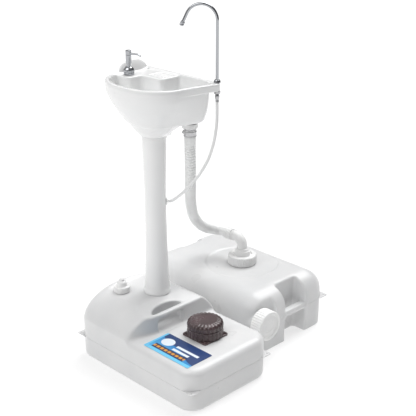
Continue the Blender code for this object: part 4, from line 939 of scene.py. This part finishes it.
def make_foot_pump():
    """The foot pump: a fluted skirt under a fluted dome, on a square flange with four screws."""
    at = (*PUMP_AT, 0.0)
    skirt = turned("pump_bellows_skirt", eased([
        (0.0462, BELLOWS_TOP - 0.0001), (0.0478, BELLOWS_TOP - 0.0008, 0.001), (0.0482, 0.1440, 0.002),
        (0.0472, 0.1405, 0.002),
        (0.0484, 0.1370, 0.002), (0.0484, 0.1270, 0.002), (0.0476, BELLOWS_LOW, 0.0008),
        (0.0440, BELLOWS_LOW), (0.0440, BELLOWS_TOP - 0.0001)],
        looped=True, steps=6), at=at, sides=384, ripple=flutes(0.0024, 0.1250, 0.1455), looped=True)
    dress(skirt, "pump_rubber", "stand", "pump_bellows")
    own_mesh(skirt)
    fall = np.linspace(0, 1, 24) * math.pi / 2
    shoulder = np.column_stack([0.0378 + 0.0106 * np.sin(fall), 0.1655 - 0.0115 * (1 - np.cos(fall))])
    profile = np.vstack([[(0.0, 0.16660), (0.010, 0.16658), (0.020, 0.16650), (0.030, 0.16640),
                          (0.0345, 0.16625), (0.0362, 0.16560), (0.0368, 0.16500), (0.0374, 0.16520)],
                         shoulder,
                         [(0.0484, 0.1520), (0.0483, 0.1500), (0.0476, 0.1484), (0.0464, 0.1475),
                          (0.0440, 0.1474), (0.0436, 0.1560), (0.0390, 0.1620), (0.0, 0.1636)]])
    dome = turned("pump_dome_cap", profile, at=at, sides=384, ripple=flutes(0.0034, 0.1490, 0.1700))
    dress(dome, "pump_rubber", "pump_plunger", "pump_dome")

    places = [(PUMP_AT[0] + SCREW_REACH * i, PUMP_AT[1] + SCREW_REACH * j)
              for i, j in ((-1, -1), (1, -1), (1, 1), (-1, 1))]

    def plate(x, y, z):
        """The flange: a square plate with round corners, four screw holes and the pump's opening."""
        (left, front, _), (right, back, _) = box_about(PUMP_AT, FLANGE_HALF, 0, 0)
        edge = rounded_plan(x, y, (left, right), (front, back), 0.007)
        field = both(both(edge, z - 0.1243, 0.0012), 0.1203 - z, 0.0004)
        for place in places:
            field = without(field, from_axis(x, y, place) - 0.0018, 0.0003)
        return without(field, from_axis(x, y, PUMP_AT) - 0.029, 0.0005)

    base = solid("pump_base_plate", plate, *box_about(PUMP_AT, FLANGE_HALF, 0.1203, 0.1243), 0.0009)
    dress(base, "pump_rubber", "stand", "pump_base")
    for index, place in enumerate(places, 1):
        screw = turned(f"pump_screw_{index}_turned", eased([
            (0.0, 0.1255), (0.0006, 0.1255, 0.0001), (0.0010, 0.1266, 0.0002), (0.0024, 0.1266, 0.0004),
            (0.0034, 0.1257, 0.0004), (0.0034, 0.1246, 0.0002), (0.0016, 0.1246, 0.0001),
            (0.0016, 0.1130, 0.0005), (0.0, 0.1116)], 0.0002), at=(*place, 0.0), sides=40)
        dress(screw, "pump_rubber", "stand", f"pump_screw_{index}")
    make_springs()


def coil(name, at, radius, low, high, wire, turns):
    """A coil: a helix whose rise is gentle over the first and last turn, as on ground spring ends."""
    angle = np.linspace(0, TURN * turns, 36 * turns + 1)
    share = angle / angle[-1]
    rise = share - 0.05 * np.sin(TURN * share)
    path = np.column_stack([at[0] + radius * np.cos(angle), at[1] + radius * np.sin(angle),
                            low + (high - low) * rise])
    ahead = np.gradient(path, axis=0)
    ahead /= np.linalg.norm(ahead, axis=1, keepdims=True)
    out = np.column_stack([np.cos(angle), np.sin(angle), np.zeros_like(angle)])
    side = np.cross(ahead, out)
    ring = np.arange(12) * TURN / 12
    section = np.cos(ring)[None, :, None] * out[:, None] + np.sin(ring)[None, :, None] * side[:, None]
    return skin(name, path[:, None] + wire * section, (path[0], path[-1]))


def make_springs():
    """Two helical return springs, for the foot pump and the soap pump."""
    spring = coil("pump_return_spring", PUMP_AT, 0.0165, 0.0946, 0.1615, 0.0011, 6)
    dress(spring, "steel", "stand", "pump_spring")
    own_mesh(spring)
    small = coil("soap_return_spring", SOAP_AT, 0.0050, 0.8009, 0.8114, 0.00045, 4)
    dress(small, "steel", "stand", "soap_spring")
    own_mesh(small)


# ---- soap pump
def make_soap_pump():
    """The soap pump: a turned bell-shaped collar and, above it, a button with a spout."""
    at = (*SOAP_AT, 0.0)
    collar = turned("soap_collar_ring", eased([
        (0.0060, 0.7998, 0.0005), (0.0060, 0.7885, 0.0005), (0.0096, 0.7866, 0.002), (0.0141, 0.7812, 0.002),
        (0.0141, 0.7745, 0.0004), (0.0136, 0.7740, 0.0003), (0.0136, 0.7732, 0.0003),
        (0.0141, 0.7727, 0.0004), (0.0141, 0.7673, 0.0006), (0.0090, 0.7673), (0.0090, 0.7820),
        (0.0039, 0.7840), (0.0039, 0.7998, 0.0005)], looped=True), at=at, sides=96, looped=True)
    dress(collar, "chrome", "stand", "soap_collar")

    def head_field(x, y, z):
        """The head: a turned button with a slim spout that droops at its tip."""
        u = (x - SOAP_AT[0]) * math.cos(SOAP_ANGLE) + (y - SOAP_AT[1]) * math.sin(SOAP_ANGLE)
        v = -(x - SOAP_AT[0]) * math.sin(SOAP_ANGLE) + (y - SOAP_AT[1]) * math.cos(SOAP_ANGLE)
        radius = np.hypot(u, v)
        button = both(both(radius - 0.0076, z - 0.8308, 0.0018), 0.7962 - z, 0.0005)
        button = without(button, np.maximum(np.abs(z - 0.8195) - 0.0004, 0.0074 - radius), 0.0003)
        droop = 0.8226 - 0.0042 * np.clip((u - 0.029) / 0.0098, 0, 1) ** 1.5
        spout = np.hypot(v, z - droop) - (0.0027 - 0.0005 * np.clip(u / 0.0385, 0, 1))
        spout = both(spout, np.maximum(u - 0.0383, -u), 0.0005)
        head = either(button, spout, 0.0015)
        return without(head, both(radius - 0.0066, z - 0.8123, 0.0004), 0.0003)

    reach = 0.0383
    tip = (SOAP_AT[0] + reach * math.cos(SOAP_ANGLE), SOAP_AT[1] + reach * math.sin(SOAP_ANGLE) + 0.003)
    head = solid("soap_pump_button", head_field, (SOAP_AT[0] - 0.008, SOAP_AT[1] - 0.008, 0.796),
                 (*tip, 0.831), 0.00042)
    dress(head, "chrome", "soap_head", "soap_pump_head")


# ---- faucet
def make_faucet():
    """The faucet: a pipe that rises straight, sweeps over in part of a circle and runs on straight to
    a stepped tip, on a turned base whose shank ends in a nut and a barb below the ledge."""
    heading = np.array([math.cos(FAUCET_ANGLE), math.sin(FAUCET_ANGLE)])
    sweep, bend, drop = math.radians(155), 0.03944, 0.0242
    angle = np.linspace(0, sweep, 61)
    start = FAUCET_ARCH_Z + FAUCET_BEND - bend
    out, height = bend * (1 - np.cos(angle)), start + bend * np.sin(angle)
    run = np.linspace(0, drop, 12)[1:]
    out = np.concatenate([out, out[-1] + run * math.sin(sweep)])
    height = np.concatenate([height, height[-1] + run * math.cos(sweep)])
    arch = np.column_stack([FAUCET_AT[0] + out * heading[0], FAUCET_AT[1] + out * heading[1], height])
    stem = np.column_stack([np.full(30, FAUCET_AT[0]), np.full(30, FAUCET_AT[1]),
                            np.linspace(RIM_TOP + 0.0025, start - 0.004, 30)])
    pipe = carried("faucet_tube", np.vstack([stem, arch]), 0.004, sides=48)
    dress(pipe, "chrome", "faucet", "faucet_pipe")
    along = np.array([-0.0006, -0.0005, 0.0006, 0.0036, 0.0037, 0.0044, 0.0045, 0.0092, 0.0104, 0.0105])
    width = np.array([0.0046, 0.0050, 0.0055, 0.0055, 0.0052, 0.0052, 0.0055, 0.0055, 0.0047, 0.0042])
    down = np.array([heading[0] * math.sin(sweep), heading[1] * math.sin(sweep), math.cos(sweep)])
    nozzle = carried("faucet_tip", arch[-1] + along[:, None] * down, width, sides=64)
    dress(nozzle, "chrome", "faucet", "faucet_nozzle")

    def thread(radius, height, _angle):
        """Fine rings on the shank below the ledge, in place of a thread."""
        return 0.00012 * np.sin(height * TURN / 0.0012) * (height < 0.765) * (radius > 0.0045)

    base = turned("faucet_base_flange", eased([
        (0.0, 0.7722), (0.0044, 0.7722, 0.0002), (0.0044, 0.7780, 0.0005), (0.0061, 0.7780, 0.0008),
        (0.0077, 0.7764, 0.0012), (0.0089, 0.7722, 0.001), (0.0090, 0.7703, 0.0004), (0.0050, 0.7703),
        (0.0050, 0.7365, 0.0006), (0.0, 0.7365)], 0.0003), at=(*FAUCET_AT, 0.0), sides=72, ripple=thread)
    dress(base, "chrome", "stand", "faucet_base")

    def nut(x, y, z):
        """The nut under the ledge: three pairs of flats, corners taken off by a cone, round a bore."""
        u, v = x - FAUCET_AT[0], y - FAUCET_AT[1]
        slants = np.maximum(np.abs(0.866 * u + 0.5 * v), np.abs(0.866 * u - 0.5 * v))
        flats = np.maximum(np.abs(v), slants) - 0.00755
        body = both(both(flats, z - 0.7482, 0.0003), 0.7421 - z, 0.0003)
        chamfer = np.hypot(u, v) - 0.0102 + np.abs(z - 0.7452) * 0.5
        return without(np.maximum(body, chamfer), np.hypot(u, v) - 0.0053, 0.0004)

    lock = solid("faucet_hex_nut", nut, *box_about(FAUCET_AT, 0.009, 0.742, 0.7483), 0.0004)
    dress(lock, "steel", "stand", "faucet_lock_nut")
    tail = turned("faucet_tail_barb", eased([
        (0.0, 0.7362), (0.0057, 0.7362, 0.0004), (0.0057, 0.7292, 0.0006), (0.0046, 0.7280, 0.0004),
        (0.0046, 0.7262, 0.0002),
        (0.0040, 0.7258, 0.0002), (0.0047, 0.7240, 0.0002), (0.0040, 0.7236, 0.0002),
        (0.0046, 0.7217, 0.0003), (0.0, 0.7217)], 0.0003), at=(*FAUCET_AT, 0.0), sides=48)
    dress(tail, "steel", "stand", "faucet_tail")


# ---- drain
def make_drain():
    """The drain: strainer, winged nut, tail pipe and hose clamp, one above the other on its axis."""
    def flange(x, y, z):
        """The strainer: a dished flange with a ring of holes round a middle one, on a threaded shank."""
        u, v = x - DRAIN_AT[0], y - DRAIN_AT[1]
        radius = np.hypot(u, v)
        top = 0.6785 - 0.0018 * np.clip((0.0235 - radius) / 0.006, 0, 1)
        plate = both(both(radius - 0.0259, z - top, 0.0008), 0.6764 - z, 0.0003)
        groove = 0.00025 * (1 - np.cos(z * TURN / 0.0016)) * (z < 0.672)
        shank = both(radius - 0.0164 + groove, 0.6451 - z, 0.0006)
        body = either(plate, both(shank, z - 0.6775, 0.0002), 0.0006)
        angle = np.arctan2(v, u)
        sector = (angle + math.pi / 8) % (math.pi / 4) - math.pi / 8
        holes = np.hypot(radius * np.cos(sector) - 0.0092, radius * np.sin(sector)) - 0.0024
        holes = np.minimum(holes, radius - 0.0030)
        body = without(body, both(holes, 0.640 - z, 0.0002), 0.0004)
        return without(body, both(radius - 0.0128, z - 0.6735, 0.0005), 0.0004)

    strainer = solid("drain_strainer", flange, *box_about(DRAIN_AT, 0.0262, 0.645, 0.6785), 0.0007)
    dress(strainer, "steel", "stand", "drain_flange")

    def nut(x, y, z):
        """The nut: a ring whose rim goes in and out six times, on a clipped cosine of the angle."""
        u, v = x - DRAIN_AT[0], y - DRAIN_AT[1]
        radius, angle = np.hypot(u, v), np.arctan2(v, u)
        wings = 0.0194 + 0.0009 * np.clip(np.cos(6 * angle) * 3, -1, 1)
        body = both(both(radius - wings, z - 0.6629, 0.0008), 0.6502 - z, 0.0008)
        return without(body, radius - 0.0168, 0.0004)

    lock = solid("drain_lock_nut", nut, *box_about(DRAIN_AT, 0.021, 0.650, 0.663), 0.0006)
    dress(lock, "cap_white", "stand", "drain_nut")
    at = (*DRAIN_AT, 0.0)
    tail = turned("drain_tail_pipe", eased([
        (0.0163, 0.6446, 0.0005), (0.0163, 0.6432, 0.0005), (0.0154, 0.6426, 0.0004),
        (0.0154, 0.6264, 0.0005), (0.0120, 0.6264), (0.0120, 0.6446)], looped=True), at=at, sides=96,
                  looped=True)
    dress(tail, "cap_white", "stand", "drain_tail")

    def clamp(x, y, z):
        """The clamp: a rolled band with beaded rims and a housing for its screw."""
        u, v = x - DRAIN_AT[0], y - DRAIN_AT[1]
        radius = np.hypot(u, v)
        bead = 0.0168 + 0.0005 * np.clip((np.abs(z - 0.635) - 0.0048) / 0.0008, 0, 1)
        band = both(np.maximum(radius - bead, 0.0158 - radius), np.abs(z - 0.635) - 0.0063, 0.0003)
        house = box_field(u, v, z, (-0.0233, -0.0044, 0.6302), (-0.0164, 0.0044, 0.6398), 0.0009)
        body = either(band, house, 0.0006)
        body = without(body, np.hypot(u + 0.0205, z - 0.635) - 0.0019, 0.0003)
        return np.maximum(body, 0.0158 - radius)

    low, high = box_about(DRAIN_AT, 0.0175, 0.6285, 0.6415)
    band = solid("drain_clamp_band", clamp, (DRAIN_AT[0] - 0.0235, *low[1:]), high, 0.00062)
    dress(band, "steel", "stand", "hose_clamp")


# ---- CAD nodes that keep their shape
def dress_frame():
    """Gives the CAD nodes that stay the same finishes as the pieces round them."""
    wanted = {entry["node"]: entry["material_slot"] for entry in frame["record"]["subparts"]}
    for name, node in frame["nodes"].items():
        node.data.materials.clear()
        node.data.materials.append(FINISHES[wanted[name]])


make_stage()
make_drain_hose()
make_supply_hose()
make_tanks()
make_pedestal()
make_basin()
make_caps()
make_elbow()
make_foot_pump()
make_soap_pump()
make_faucet()
make_drain()
dress_frame()
